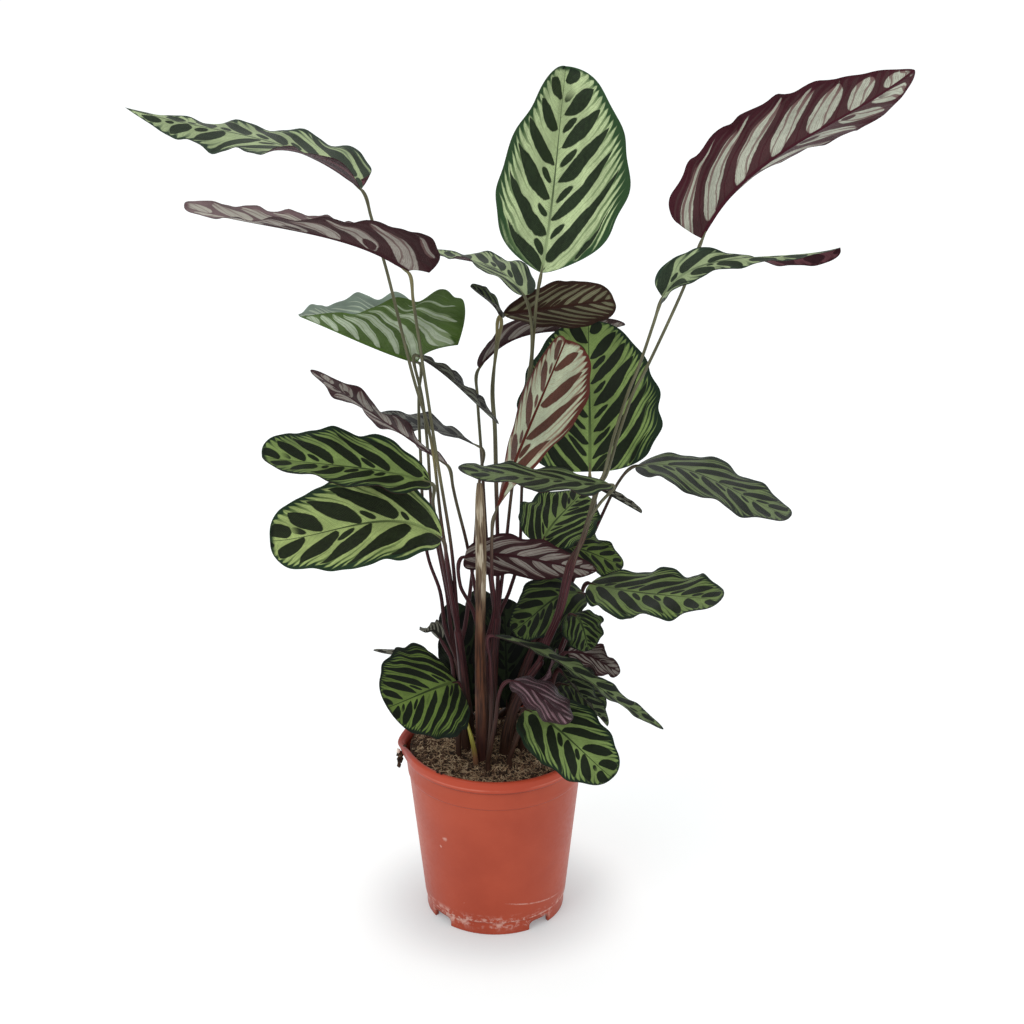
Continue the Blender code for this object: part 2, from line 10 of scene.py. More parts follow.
import bmesh
import bpy
import numpy as np
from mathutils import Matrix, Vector, noise


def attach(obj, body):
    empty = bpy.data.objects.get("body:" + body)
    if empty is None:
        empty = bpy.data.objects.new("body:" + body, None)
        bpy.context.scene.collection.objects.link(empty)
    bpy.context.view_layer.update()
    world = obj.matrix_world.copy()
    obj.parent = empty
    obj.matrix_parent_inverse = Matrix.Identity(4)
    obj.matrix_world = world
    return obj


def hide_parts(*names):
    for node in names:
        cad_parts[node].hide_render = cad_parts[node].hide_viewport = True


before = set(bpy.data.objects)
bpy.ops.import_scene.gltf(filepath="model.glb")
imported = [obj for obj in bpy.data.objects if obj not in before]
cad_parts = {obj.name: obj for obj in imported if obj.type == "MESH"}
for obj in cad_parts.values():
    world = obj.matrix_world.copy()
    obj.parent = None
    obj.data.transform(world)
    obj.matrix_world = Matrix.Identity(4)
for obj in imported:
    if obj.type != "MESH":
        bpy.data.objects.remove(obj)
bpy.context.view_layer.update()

MM = 0.001

# Pot and soil, as in the part
POT_HEIGHT = 178.0
LIP_RADIUS = 87.5
LIP_DEPTH = 12.0
BODY_TOP_RADIUS = 84.0
BAND_RADIUS = 83.0
BAND_Z = 150.0
SKIRT_Z = 13.4
SKIRT_RADIUS = 67.4
FOOT_RADIUS = 66.4
WALL = 2.0
FLOOR_Z = 11.0
FLOOR_THICK = 2.0
FOOT_WALL = 4.0
NOTCH_ANGLES = (-50.0, 40.0, 130.0, 220.0)
NOTCH_WIDTH = 24.0
NOTCH_HEIGHT = 9.0
DRAIN_RADIUS = 5.0
DRAIN_CIRCLE = 48.0
GAP = 0.3
SOIL_EDGE_Z = 169.0
SOIL_CROWN = 4.0

# Leaves and stalks, as in the part
NECK_GAP = 0.6
NECK_LENGTH = 5.0
STALK_RADIUS = 3.3
STALK_TOP_RADIUS = 1.4
STALK_TAPER = 70.0
BEND_LENGTH = 22.0  # over which a stalk turns into its leaf

# How a leaf is marked. rows: big ovals a side. broad: how much of a vein's spacing half an oval
# fills. reach: where the ovals end, as a share of the half-blade; from 1 on, the dark marks are
# bands that join at the margin. tone: colours of the upper side. under: colours of the underside.
# slant: how strongly the veins run forward.
Look = namedtuple("Look", "rows broad reach tone under slant", defaults=("mid", "maroon", 1.0))
Leaf = namedtuple(
    "Leaf", "base tip wide look roll twist arch sway fold relax wave count phase peak ends lobe",
    defaults=(0, 0, 0, 0, (0, 0), (0, 0), 3, 3, 0, 0.45, (0.5, 0.5), (0, 0)))
LEAVES = dict(
    leaf_01=Leaf((-115, 15, 711), (-329, 103, 761), 96, Look(7, 0.34, 0.9, "sage", "solid"), -1, -43, 11,
        9, fold=(26, 23), relax=(2.5, 2.2), wave=3.5, count=4.5, phase=0.15, peak=0.2, ends=(0.82, 1.0),
        lobe=(-3, -10)),
    leaf_02=Leaf((-74, -25, 649), (-257, -71, 720), 82, Look(6, 0.3, 1.0, "rosy", "wine", 1.3), 15, -10,
        9, -18, fold=(48, 31), relax=(1.2, 0.2), wave=1.8, count=6, phase=-0.57, peak=0.2, ends=(0.7, 0.31),
        lobe=(18, -9)),
    leaf_03=Leaf((-70, 60, 535), (-169, -10, 603), 146, Look(6, 0.29, 1.0, "mist", "green", 2.2), 11, 24,
        -2, -2, fold=(91, 48), relax=(0.95, 0.46), wave=3.6, phase=0.45, peak=0.22, ends=(0.51, 0.61),
        lobe=(41, 20)),
    leaf_04=Leaf((-68, 25, 554), (4, 18, 491), 44, Look(6, 0.34, 0.84, "slate", "dull"), -18, 10, 3,
        fold=(15, 15)),
    leaf_05=Leaf((-44, 8, 456), (-160, -30, 561), 48, Look(7, 0.3, 1.0, "slate", "wine"), 24, 24,
        fold=(5, 5), wave=4, ends=(0.5, 0.6)),
    leaf_06=Leaf((-14, 62, 451), (-113, 100, 467), 48, Look(6, 0.34, 0.84, "slate", "dull"), 6, -15, 4,
        fold=(10, 10), peak=0.6, ends=(1.3, 0.5)),
    leaf_07=Leaf((-57, -42, 459), (-200, -85, 501), 84, Look(6, 0.37, 0.87, "mid"), -14, 8, 4,
        fold=(12, 16), peak=0.5, ends=(0.42, 0.36)),
    leaf_08=Leaf((-47, -52, 409), (-197, -80, 419), 90, Look(5, 0.39, 0.85, "lime"), -30, 10, 27,
        fold=(0, 20), peak=0.52, ends=(0.5, 0.32)),
    leaf_09=Leaf((42, 10, 637), (63, 58, 809), 139, Look(6, 0.3, 0.84, "pale"), 6, 23, 4, 3, fold=(61, 5),
        relax=(-0.14, 0), wave=3.6, count=2.4, phase=-0.14, peak=0.43, ends=(0.93, 0.44)),
    leaf_10=Leaf((27, 24, 611), (-64, 105, 628), 62, Look(6, 0.34, 0.9, "sage", "solid"), 12, 0, 12,
        fold=(10, 10), wave=2.5, peak=0.36),
    leaf_11=Leaf((8, 66, 579), (106, 8, 613), 48, Look(8, 0.24, 1.0, "dusk", "brown", 2.0), -75,
        fold=(5, 5), wave=2, peak=0.6, ends=(0.5, 0.35)),
    leaf_12=Leaf((-14, 92, 518), (122, 118, 551), 52, Look(6, 0.3, 1.0, "dusk", "wine", 1.5), -4, 0, 18,
        fold=(10, 52)),
    leaf_13=Leaf((1, -40, 428), (63, -30, 589), 104, Look(5, 0.28, 0.8, "mid", "rust"), -93, -8, 5,
        fold=(30, 84), wave=2.5, peak=0.64, ends=(0.95, 0.42)),
    leaf_14=Leaf((88, 40, 435), (86, 75, 570), 132, Look(6, 0.35, 0.86, "mid"), 0, 0, 5, peak=0.38,
        ends=(0.45, 0.42)),
    leaf_15=Leaf((102, -75, 471), (-28, -120, 503), 76, Look(5, 0.34, 0.92, "dusk"), 4, wave=2.5,
        ends=(0.5, 0.4)),
    leaf_16=Leaf((180, -20, 677), (335, -124, 848), 93, Look(6, 0.29, 1.0, "mid", "maroon", 1.5), -81,
        -19, 0, 16, fold=(92, -6), relax=(0.5, 0.8), wave=6, count=5.5, phase=-0.1, peak=0.31,
        ends=(0.25, 0.7), lobe=(-4, -4)),
    leaf_17=Leaf((145, -52, 635), (284, -125, 702), 40, Look(6, 0.36, 0.94, "sage", "solid"), 10, -22, 20,
        7, fold=(72, -8), relax=(2.5, 1.4), wave=2, count=4, phase=0.13, peak=0.2, ends=(0.62, 0.32),
        lobe=(-2, -2)),
    leaf_18=Leaf((133, 62, 432), (271, 5, 405), 90, Look(6, 0.34, 0.9, "dusk"), -3, 0, 12,
        ends=(0.5, 0.4)),
    leaf_19=Leaf((98, 60, 410), (137, 45, 391), 12, Look(5, 0.3, 0.8, "dry", "dry"), fold=(60, 60),
        wave=1, ends=(0.4, 0.3)),
    leaf_20=Leaf((43, 8, 375), (81, 45, 412), 92, Look(5, 0.38, 0.89, "mid"), 0, 0, 5),
    leaf_21=Leaf((-27, -19, 376), (94, -4, 355), 50, Look(6, 0.32, 1.0, "dusk", "wine", 1.4), -72, 0, 8,
        wave=2.5, peak=0.36, ends=(0.4, 0.6)),
    leaf_22=Leaf((57, 26, 366), (120, 20, 349), 50, Look(5, 0.32, 0.84, "moss"), 20, 0, 5),
    leaf_23=Leaf((90, 36, 323), (205, -45, 344), 84, Look(6, 0.35, 0.87, "mid"), 10, 0, -3, wave=4,
        ends=(0.5, 0.42)),
    leaf_24=Leaf((11, 38, 190), (9, 70, 291), 66, Look(6, 0.36, 0.9, "deep"), 0, 0, 8, fold=(10, 10),
        wave=4, ends=(0.38, 0.5)),
    leaf_25=Leaf((83, 20, 320), (16, -4, 292), 60, Look(5, 0.36, 0.88, "dark"), -30, 0, 18),
    leaf_26=Leaf((71, -28, 322), (87, -50, 296), 42, Look(5, 0.34, 0.9, "dark"), 10, 0, 10, wave=4),
    leaf_27=Leaf((68, -22, 280), (116, -38, 268), 52, Look(6, 0.32, 1.0, "dark", "wine"), -60, 0, 5),
    leaf_28=Leaf((62, -43, 270), (104, -62, 224), 34, Look(6, 0.32, 0.9, "dusk", "dull"), -12,
        fold=(25, 25), wave=2.5),
    leaf_29=Leaf((63, 6, 232), (102, -18, 215), 50, Look(5, 0.34, 0.9, "dark"), 10, 0, 5),
    leaf_30=Leaf((-1, -50, 311), (154, -84, 233), 36, Look(7, 0.3, 0.94, "dusk", "dull"), -10, 20, 8,
        fold=(12, 12), wave=2.5, count=5, ends=(0.6, 0.6)),
    leaf_31=Leaf((16, -74, 277), (69, -100, 249), 66, Look(4, 0.16, 1.0, "mid", "plum", 1.5), 170, 0, -5,
        wave=2, peak=0.5, ends=(0.45, 0.45)),
    leaf_32=Leaf((29, -45, 232), (107, -112, 198), 73, Look(5, 0.36, 0.9, "mid"), 20, 0, 10, wave=2,
        ends=(0.5, 0.42)),
    leaf_33=Leaf((-35, -30, 253), (-96, -95, 261), 98, Look(6, 0.36, 0.92, "moss"), -40, 0, 6, wave=2,
        ends=(0.48, 0.42)),
    leaf_34=Leaf((-23, 30, 189), (-43, 66, 289), 64, Look(6, 0.36, 0.9, "deep"), 10, 0, 8, fold=(10, 10),
        wave=4, ends=(0.38, 0.5)),
    leaf_35=Leaf((-50, -8, 286), (-65, -26, 303), 22, Look(5, 0.3, 0.8, "dry", "dry"), 40, 0, 6,
        fold=(40, 40), wave=2),
    leaf_36=Leaf((3, 66, 194), (-19, 100, 286), 58, Look(6, 0.36, 0.9, "deep"), 0, 0, 8, fold=(10, 10),
        wave=4),
    leaf_37=Leaf((48, 62, 196), (66, 98, 269), 58, Look(6, 0.34, 0.9, "deep"), 0, 0, 8, fold=(10, 10),
        wave=4),
    leaf_38=Leaf((52, 20, 199), (97, 40, 231), 54, Look(5, 0.34, 0.9, "deep"), 0, 0, 10, fold=(10, 10),
        wave=4),
    leaf_39=Leaf((38, -40, 258), (57, -36, 291), 28, Look(5, 0.3, 1.0, "dark", "plum"), 150, 0, 5,
        fold=(20, 20), wave=2),
    leaf_41=Leaf((6, 60, 579), (-21, 44, 613), 28, Look(4, 0.3, 0.8, "dark", "dull"), -20, 0, 3,
        fold=(20, 20), wave=1),
    leaf_40=Leaf((-51, -14, 255), (-111, -36, 289), 16, Look(4, 0.3, 0.8, "dry", "dry"), 0, 0, 6,
        fold=(20, 20), wave=1),
)
Shoot = namedtuple("Shoot", "root radius tall lean stalks")
SHOOTS = dict(
    shoot_01=Shoot((-26, -8), 6.0, 128, (-8, -4), dict(
        leaf_01=[(-41, -14, 358), (-48, -18, 412), (-56, -20, 491), (-72, -14, 552), (-89, 2, 622),
        (-97, 15, 649)], leaf_02=[(-37, -14, 358), (-41, -20, 403), (-50, -28, 472), (-61, -27, 557),
        (-69, -26, 620)], leaf_07=[(-45, -22, 362), (-54, -34, 431)], leaf_08=[(-40, -36, 356)])),
    shoot_02=Shoot((-24, 16), 5.0, 85, (-12, -1), dict(
        leaf_03=[(-46, 12, 286), (-51, 20, 322), (-64, 28, 366), (-68, 37, 458), (-69, 45, 504)],
        leaf_04=[(-41, 14, 285), (-45, 20, 322), (-57, 28, 392), (-61, 33, 460), (-65, 30, 510)],
        leaf_06=[(-27, 28, 289), (-20, 45, 343), (-15, 58, 409)])),
    shoot_03=Shoot((-9, -14), 6.5, 105, (-2, 4), dict(
        leaf_05=[(-15, -2, 314), (-21, 2, 353), (-26, 4, 382), (-35, 6, 421)],
        leaf_13=[(0, -26, 325), (-2, -34, 364), (-2, -36, 400)], leaf_21=[(-19, -14, 317),
        (-31, -22, 348)])),
    shoot_04=Shoot((10, -20), 6.0, 105, (32, -12), dict(
        leaf_15=[(51, -36, 300), (62, -42, 333), (73, -44, 384), (87, -58, 434)],
        leaf_16=[(49, -32, 298), (59, -34, 326), (69, -28, 372), (81, -22, 394), (94, -12, 439),
        (102, -12, 456), (111, -20, 496), (123, -24, 537), (135, -26, 563), (163, -23, 629)],
        leaf_17=[(47, -30, 297), (57, -30, 324), (67, -26, 371), (79, -20, 393), (92, -14, 440),
        (99, -15, 457), (107, -24, 497), (118, -34, 541), (128, -42, 573)])),
    shoot_05=Shoot((-4, 14), 6.5, 118, (6, 20), dict(
        leaf_09=[(14, 50, 309), (23, 68, 338), (25, 60, 398), (26, 38, 443), (29, 36, 488),
        (33, 36, 527), (35, 32, 561), (38, 18, 609)], leaf_10=[(9, 38, 346), (16, 44, 415),
        (25, 40, 486), (32, 28, 539), (34, 22, 564), (33, 24, 590)], leaf_11=[(3, 36, 347),
        (2, 44, 425), (1, 50, 473), (-1, 54, 515)], leaf_41=[(3, 36, 347), (1, 44, 425), (0, 50, 473),
        (-2, 54, 515)], leaf_12=[(-4, 50, 320), (-8, 70, 352), (-12, 88, 422), (-16, 92, 486)])),
    shoot_06=Shoot((14, 8), 6.0, 90, (24, 26), dict(
        leaf_14=[(62, 52, 298), (85, 60, 357), (93, 58, 394)], leaf_18=[(65, 55, 296),
        (97, 64, 371), (115, 66, 412)], leaf_19=[(63, 54, 297), (90, 68, 364), (95, 68, 395)],
        leaf_20=[(37, 46, 297), (42, 32, 337)], leaf_22=[(47, 42, 303)], leaf_23=[(66, 34, 286),
        (81, 44, 305)])),
    shoot_07=Shoot((26, -12), 5.0, 48, (20, 4), dict(
        leaf_25=[(63, 14, 264)], leaf_26=[(59, -8, 270), (66, -32, 306)],
        leaf_27=[(52, -4, 242)], leaf_28=[(52, -26, 243)], leaf_29=[(50, 2, 217)])),
    shoot_08=Shoot((-6, -50), 3.5, 12, (0, 0), dict(
        leaf_31=[(1, -58, 228), (4, -66, 257), (10, -71, 273)], leaf_30=[(-3, -50, 228),
        (-3, -50, 276)])),
    shoot_09=Shoot((14, -44), 3.5, 12, (0, 0), dict(
        leaf_32=[(24, -46, 213)], leaf_39=[(27, -40, 227)])),
    shoot_10=Shoot((-34, -26), 3.5, 15, (0, 0), dict(
        leaf_33=[(-32, -26, 230)], leaf_35=[(-37, -20, 239), (-41, -13, 272)],
        leaf_40=[(-40, -16, 237)])),
    shoot_11=Shoot((-22, 44), 4.0, 8, (0, 0), dict(
        leaf_34=[(-25, 37, 179)], leaf_36=[(-1, 56, 179)])),
    shoot_12=Shoot((6, 46), 4.5, 10, (0, 0), dict(
        leaf_24=[(12, 42, 182)], leaf_37=[(32, 55, 180)])),
    shoot_13=Shoot((26, 30), 3.5, 14, (0, 0), dict(
        leaf_38=[(39, 26, 180)])),
)
STALK_SIDES = 12
STALK_FIRST, STALK_STEP = 0.4, 0.07  # where the stalks leave a sheath, as shares of its height
SPEAR_PATH = [(-12, -32, 150), (-12, -32, 170), (-12, -32, 190),
              (-13, -35, 290), (-12, -38, 380), (-13, -40, 457)]
SPEAR_RADII = (5.4, 4.5)
SPROUT_PATH = [(-18, -38, 150), (-18, -38, 176), (-22, -38, 200), (-28, -37, 224)]
SPROUT_RADII = (3.0, 0.8)
STEM_FOOT_Z = 150.0

# Ground, oval, line and margin colours of the upper side, as seen on screen from 0 to 255
UPPER = dict(
    pale=((184, 200, 152), (12, 26, 16), (78, 104, 62), (48, 76, 46)),
    lime=((162, 180, 112), (6, 12, 8), (66, 88, 46), (34, 56, 36)),
    mid=((126, 148, 84), (8, 14, 10), (50, 70, 38), (28, 46, 30)),
    moss=((104, 126, 60), (6, 10, 8), (38, 54, 28), (20, 32, 22)),
    # mist and rosy are paled, greyed copies of the upper side for blades seen under a grey sheen: painted
    # sheen
    mist=((201, 215, 194), (127, 145, 131), (163, 179, 158), (138, 154, 140)),
    sage=((158, 174, 130), (26, 38, 28), (82, 98, 72), (44, 60, 46)),
    rosy=((172, 170, 158), (104, 84, 86), (134, 120, 116), (98, 72, 76)),
    slate=((98, 100, 94), (34, 34, 36), (58, 56, 56), (42, 38, 40)),
    # dusk, dark and deep are darker copies of the same green for leaves lying in shade, deep near black for
    # those deep inside the plant: painted shade
    dusk=((102, 118, 76), (12, 18, 15), (50, 60, 42), (32, 42, 34)),
    dark=((80, 98, 50), (6, 10, 8), (30, 42, 26), (18, 28, 21)),
    deep=((34, 46, 24), (5, 8, 6), (16, 24, 15), (11, 17, 12)),
    dry=((150, 150, 136), (40, 38, 34), (92, 88, 78), (66, 62, 56)),
)
UNDER = dict(
    maroon=((174, 178, 162), (58, 18, 28), (96, 54, 58), (66, 22, 34)),
    wine=((150, 144, 136), (50, 22, 27), (92, 62, 62), (58, 28, 34)),
    rust=((180, 190, 162), (74, 30, 22), (136, 92, 76), (92, 42, 34)),
    green=((190, 202, 178), (74, 100, 38), (126, 148, 96), (72, 98, 44)),
    solid=((100, 60, 66), (48, 18, 26), (72, 36, 42), (56, 22, 30)),
    brown=((130, 130, 102), (52, 30, 24), (84, 68, 52), (66, 48, 34)),
    dull=((108, 112, 98), (42, 36, 33), (68, 64, 58), (50, 44, 40)),
    plum=((150, 120, 128), (48, 20, 28), (74, 36, 46), (42, 17, 24)),
    dry=UPPER["dry"],
)


def linear(colour):
    """A colour as seen on screen, 0 to 255, as the renderer counts it."""
    shares = [c / 255 for c in colour]
    return tuple(s / 12.92 if s <= 0.04045 else ((s + 0.055) / 1.055) ** 2.4 for s in shares)


def arithmetic(operation):
    return lambda wire, other: wire.graph.math(operation, wire, other)


class Wire:
    """A value in a node graph, which arithmetic turns into nodes."""

    def __init__(self, graph, socket):
        self.graph, self.socket = graph, socket

    def __rsub__(self, other):
        return self.graph.math("SUBTRACT", other, self)

    __add__ = __radd__ = arithmetic("ADD")
    __mul__ = __rmul__ = arithmetic("MULTIPLY")
    __sub__, __truediv__, __pow__ = map(arithmetic, ("SUBTRACT", "DIVIDE", "POWER"))


class Graph:
    """A material's node graph, with short names for the nodes used here."""

    def __init__(self, name):
        self.material = bpy.data.materials.new(name)
        self.material.use_nodes = True
        self.tree = self.material.node_tree
        self.shader = self.tree.nodes["Principled BSDF"]

    def feed(self, socket, value):
        """Links a wire to a socket, or sets the socket to a plain value."""
        if isinstance(value, Wire):
            self.tree.links.new(value.socket, socket)
        elif value is not None:
            socket.default_value = value

    def node(self, kind, inputs, output=0, **settings):
        """Adds a node with these settings and input values, and gives one of its outputs."""
        node = self.tree.nodes.new("ShaderNode" + kind)
        for key, value in settings.items():
            setattr(node, key, value)
        for key, value in inputs.items():
            self.feed(node.inputs[key], value)
        return Wire(self, node.outputs[output])

    def math(self, operation, a, b=None, clamp=False):
        return self.node("Math", {0: a, 1: b}, operation=operation, use_clamp=clamp)

    def size(self, value):
        return self.math("ABSOLUTE", value)

    def most(self, a, b):
        return self.math("MAXIMUM", a, b)

    def wave(self, value):
        """0 at each whole number, and 1 halfway between two."""
        return 1.0 - self.size(self.math("FRACT", value) - 0.5) * 2.0

    def step(self, value, low, high, start=0.0, end=1.0):
        """Goes smoothly from start to end while value goes from low to high."""
        inputs = {"Value": value, "From Min": low, "From Max": high, "To Min": start, "To Max": end}
        return self.node("MapRange", inputs, "Result", interpolation_type="SMOOTHSTEP")

    def mix(self, share, a, b):
        """Mixes two colours, each a wire or a linear colour."""
        a, b = [c if isinstance(c, Wire) else (*c, 1.0) for c in (a, b)]
        return self.node("Mix", {"Factor": share, 6: a, 7: b}, 2, data_type="RGBA")

    def tint(self, share, a, b):
        """Mixes two colours, each a wire or a colour as seen on screen."""
        return self.mix(share, *[c if isinstance(c, Wire) else linear(c) for c in (a, b)])

    def split(self, vector):
        node = self.tree.nodes.new("ShaderNodeSeparateXYZ")
        self.feed(node.inputs[0], vector)
        return [Wire(self, socket) for socket in node.outputs]

    def uv(self, name):
        """The two values of a UV map."""
        return self.split(self.node("UVMap", {}, uv_map=name))[:2]

    def place(self):
        """Where a point is on the object, in metres, as a vector and as its three values."""
        where = self.node("TexCoord", {}, "Object")
        return where, self.split(where)

    def vector(self, x, y, z=0.0):
        return self.node("CombineXYZ", {0: x, 1: y, 2: z})

    def stretch(self, vector, scale):
        return self.node("VectorMath", {0: vector, 1: scale}, operation="MULTIPLY")

    def noise(self, vector, scale, detail=2.0, roughness=0.5):
        inputs = {"Vector": vector, "Scale": scale, "Detail": detail, "Roughness": roughness}
        return self.node("TexNoise", inputs, "Fac")

    def scatter(self, value):
        """A steady random number for each whole number."""
        return self.node("TexWhiteNoise", {"W": value}, "Value", noise_dimensions="1D")

    def bump(self, height, strength, distance):
        return self.node("Bump", {"Strength": strength, "Distance": distance, "Height": height}, "Normal")

    def finish(self, colour, roughness, normal=None, gloss=None, **others):
        inputs = {"Base Color": colour, "Roughness": roughness, "Normal": normal,
                  "Specular_IOR_Level": gloss, **others}
        for key, value in inputs.items():
            self.feed(self.shader.inputs[key.replace("_", " ")], value)
        return self.material


# Leaf markings

def leaf_marks(g, look, seed):
    """How much oval, dark line, margin, midrib and fine vein there is at a point, and its relief."""
    t, across = g.uv("blade")
    veins, out = g.uv("veins")
    warp = g.noise(g.vector(t * 7.0, across * 3.0, seed * 3.7), 1.0, 1.0) - 0.5
    fine = g.noise(g.vector(t * 46.0, across * 20.0, seed * 1.3), 1.0, 2.0) - 0.5
    place = veins + warp * 0.24 + fine * 0.045
    cell = g.math("FLOOR", place)
    luck, more = g.scatter(cell + seed), g.scatter(cell + (seed + 57.3))
    off = g.size(g.math("FRACT", place) - 0.5 + (more - 0.5) * 0.10)
    # Big dark marks: lenses along the veins, or else bands between light lenses
    bands = look.reach >= 1.0
    early, late = g.step(t, 0.05, 0.30, 1.0, 0.0), g.step(t, 0.66, 0.97)
    first = 0.01 + luck * (0.02 if bands else 0.05)
    last = (0.90 if bands else look.reach) + (more - 0.5) * 0.12 + early * (0.0 if bands else 0.06)
    share = g.math("DIVIDE", out + warp * 0.05 - first, last - late * 0.10 - first, clamp=True)
    lens = g.math("SINE", (share ** 0.85) * pi) ** (0.50 if bands else 0.80)
    broad = (luck - 0.5) * 0.08 + look.broad + early * 0.04
    if bands:
        broad = broad + g.step(t, 0.25, 0.75, 0.0, 0.08)
    big = g.step(off - lens * broad, 0.022, -0.022)
    if bands:
        big = 1.0 - big
    # Small ovals near the midrib, between some of the big ones
    shift, few = (0.0, 0.70) if bands else (0.5, 0.42)
    luck = g.scatter(g.math("FLOOR", place + shift) + (seed + 11.1))
    off = g.size(g.math("FRACT", place + shift) - 0.5)
    size = 0.45 + luck * 0.75
    small = ((out - (0.12 + luck * 0.07)) / (size * 0.115)) ** 2.0 + (off / (size * 0.15)) ** 2.0
    small = g.step(small, 1.25, 0.8) * g.step(t, 0.90, 0.82) * g.step(luck, few, few + 0.04)
    ovals = g.most(big, small)
    # Light fingers between thin dark lines along the veins, which merge into the dark margin
    drift = g.noise(g.vector(place * 0.9, out * 1.5, seed * 2.1), 1.0, 1.0) - 0.5
    comb = g.wave(place * 3.0 + drift * 1.3)
    hair = g.wave(place * 8.0 + drift * 2.6 + fine * 0.8)
    dense = g.step(out, 0.30, 0.98)
    wide = 0.05 + dense * 0.50
    if bands:
        wide = wide + 0.12
    faint = 0.75 if bands else 0.22
    streak = g.step(comb - wide, 0.10, -0.10) * (faint + dense * (1.0 - faint))
    streak = g.most(streak, g.step(hair, 0.50, 0.0) * (0.14 + dense * 0.20))
    edge = 0.80 + comb * 0.13 + warp * 0.14 - late * 0.02
    margin = g.most(g.step(out - edge, -0.035, 0.035), g.step(t, 0.965, 0.99))
    thin = g.wave(place * 17.0 + drift * 3.0 + fine * 0.6)
    relief = comb * 0.30 + hair * 0.12 + fine * 0.45 + thin * 0.55
    veins = g.step(thin, 0.55, 0.15) * g.step(fine, -0.22, 0.12)
    return t, across, ovals, streak, margin, relief, veins


# Of a blade's side: the least and greatest brightness of the ground, how much its veins, the lines
# and the ovals show, the least and greatest brightness of the ovals, and how much their veins show
Face = namedtuple("Face", "ground veins lines ovals oval oval_veins")
ABOVE = Face((0.96, 1.32), 0.36, 1.0, 0.97, (0.75, 1.35), 0.28)
BELOW = Face((0.92, 1.22), 0.42, 0.92, 0.96, (0.80, 1.25), 0.30)


def leaf_side(name, look, seed, face):
    """The material of one side of a blade."""
    g = Graph(name)
    ground, oval, line, rim = [linear(c) for c in (UPPER[look.tone] if face is ABOVE else UNDER[look.under])]
    t, across, ovals, streak, margin, relief, veins = leaf_marks(g, look, seed)
    patch = g.noise(g.vector(t * 3.0, across * 2.0, seed), 1.5, 3.0)
    bright = g.mix(g.step(patch, 0.35, 0.65), *[[min(1, c * k) for c in ground] for k in face.ground])
    if face is ABOVE:
        speck = g.noise(g.vector(t * 160.0, across * 70.0, seed), 1.0, 2.0)
        bright = g.mix(g.step(speck, 0.35, 0.75) * 0.14, bright, line)
    bright = g.mix(veins * face.veins, bright, line)
    colour = g.mix(margin, g.mix(streak * face.lines, bright, line), rim)
    deep = g.mix(g.step(patch, 0.3, 0.7), *[[c * k for c in oval] for k in face.oval])
    deep = g.mix(veins * face.oval_veins, deep, line)
    colour = g.mix(ovals * face.ovals, colour, deep)
    normal = g.bump(relief, 0.60, 0.0008)
    if face is ABOVE:
        width = g.step(t, 0.0, 0.9, 0.032, 0.007)
        rib = g.step(g.size(across), width * 1.25, width * 0.75) * 0.85
        start = [0.55 * a + 0.45 * b for a, b in zip(ground, line)]
        end = [0.4 * a + 0.6 * b for a, b in zip(line, oval)]
        colour = g.mix(rib, colour, g.mix(g.step(t, 0.10, 0.45), start, end))
        return g.finish(colour, g.step(patch, 0.2, 0.8, 0.42, 0.55), normal, 0.14)
    width = g.step(t, 0.0, 0.9, 0.036, 0.014)
    rib = g.step(g.size(across), width * 1.7, width)
    colour = g.mix(rib, colour, [c * 1.25 for c in oval])
    rough, gloss = (0.32, 0.40) if look.under == "plum" else (0.55, 0.12)
    return g.finish(colour, rough, normal, gloss)


# Leaf shapes

def unit(v):
    return v / np.linalg.norm(v)


def turned(v, axis, angle):
    c, s = cos(angle), sin(angle)
    return v * c + np.cross(axis, v) * s + axis * (axis @ v) * (1 - c)


def half_width(leaf, t):
    power = log(0.5) / log(leaf.peak)
    bluntness = leaf.ends[0] + (leaf.ends[1] - leaf.ends[0]) * t
    return 0.5 * leaf.wide * sin(pi * t ** power) ** bluntness


def midrib_frame(leaf, t):
    """The midrib's point, the upper side's normal and the direction to the right, at t along it."""
    base, tip = np.array(leaf.base, float), np.array(leaf.tip, float)
    chord = tip - base
    axis = unit(chord)
    up = unit(np.array([0.0, 0.0, 1.0]) - axis * axis[2])
    up = turned(up, axis, radians(leaf.roll))
    bow = up * leaf.arch + np.cross(axis, up) * leaf.sway
    point = base + chord * t + bow * 6.75 * t * (1 - t) ** 2
    along = unit(chord + bow * 6.75 * (1 - t) * (1 - 3 * t))
    normal = unit(up - along * (up @ along))
    normal = turned(normal, along, radians(leaf.twist * (t - 0.5)))
    return point, normal, np.cross(along, normal)


HALF_STEPS = [0, 0.02, 0.05, 0.09, 0.14, 0.2, 0.27, 0.34, 0.41, 0.48, 0.55, 0.62, 0.69, 0.76, 0.83,
              0.89, 0.94, 0.975, 1]
ROWS_PER_MM = 0.62
BLADE_THICK = 0.5
ACROSS_UNIT = 50.0  # what the distance across the blade is counted in, for its map
LEFT_VEINS, RIGHT_VEINS = 40.37, 20.0  # each side's first vein number, so that the sides differ
SCALLOP = 0.03  # how far the edge swings in and out, as a share of the half-width
VEIN_CURVE = (0.85, 0.35, 0.35)  # how far forward a vein runs, per half-width out, its square and cube


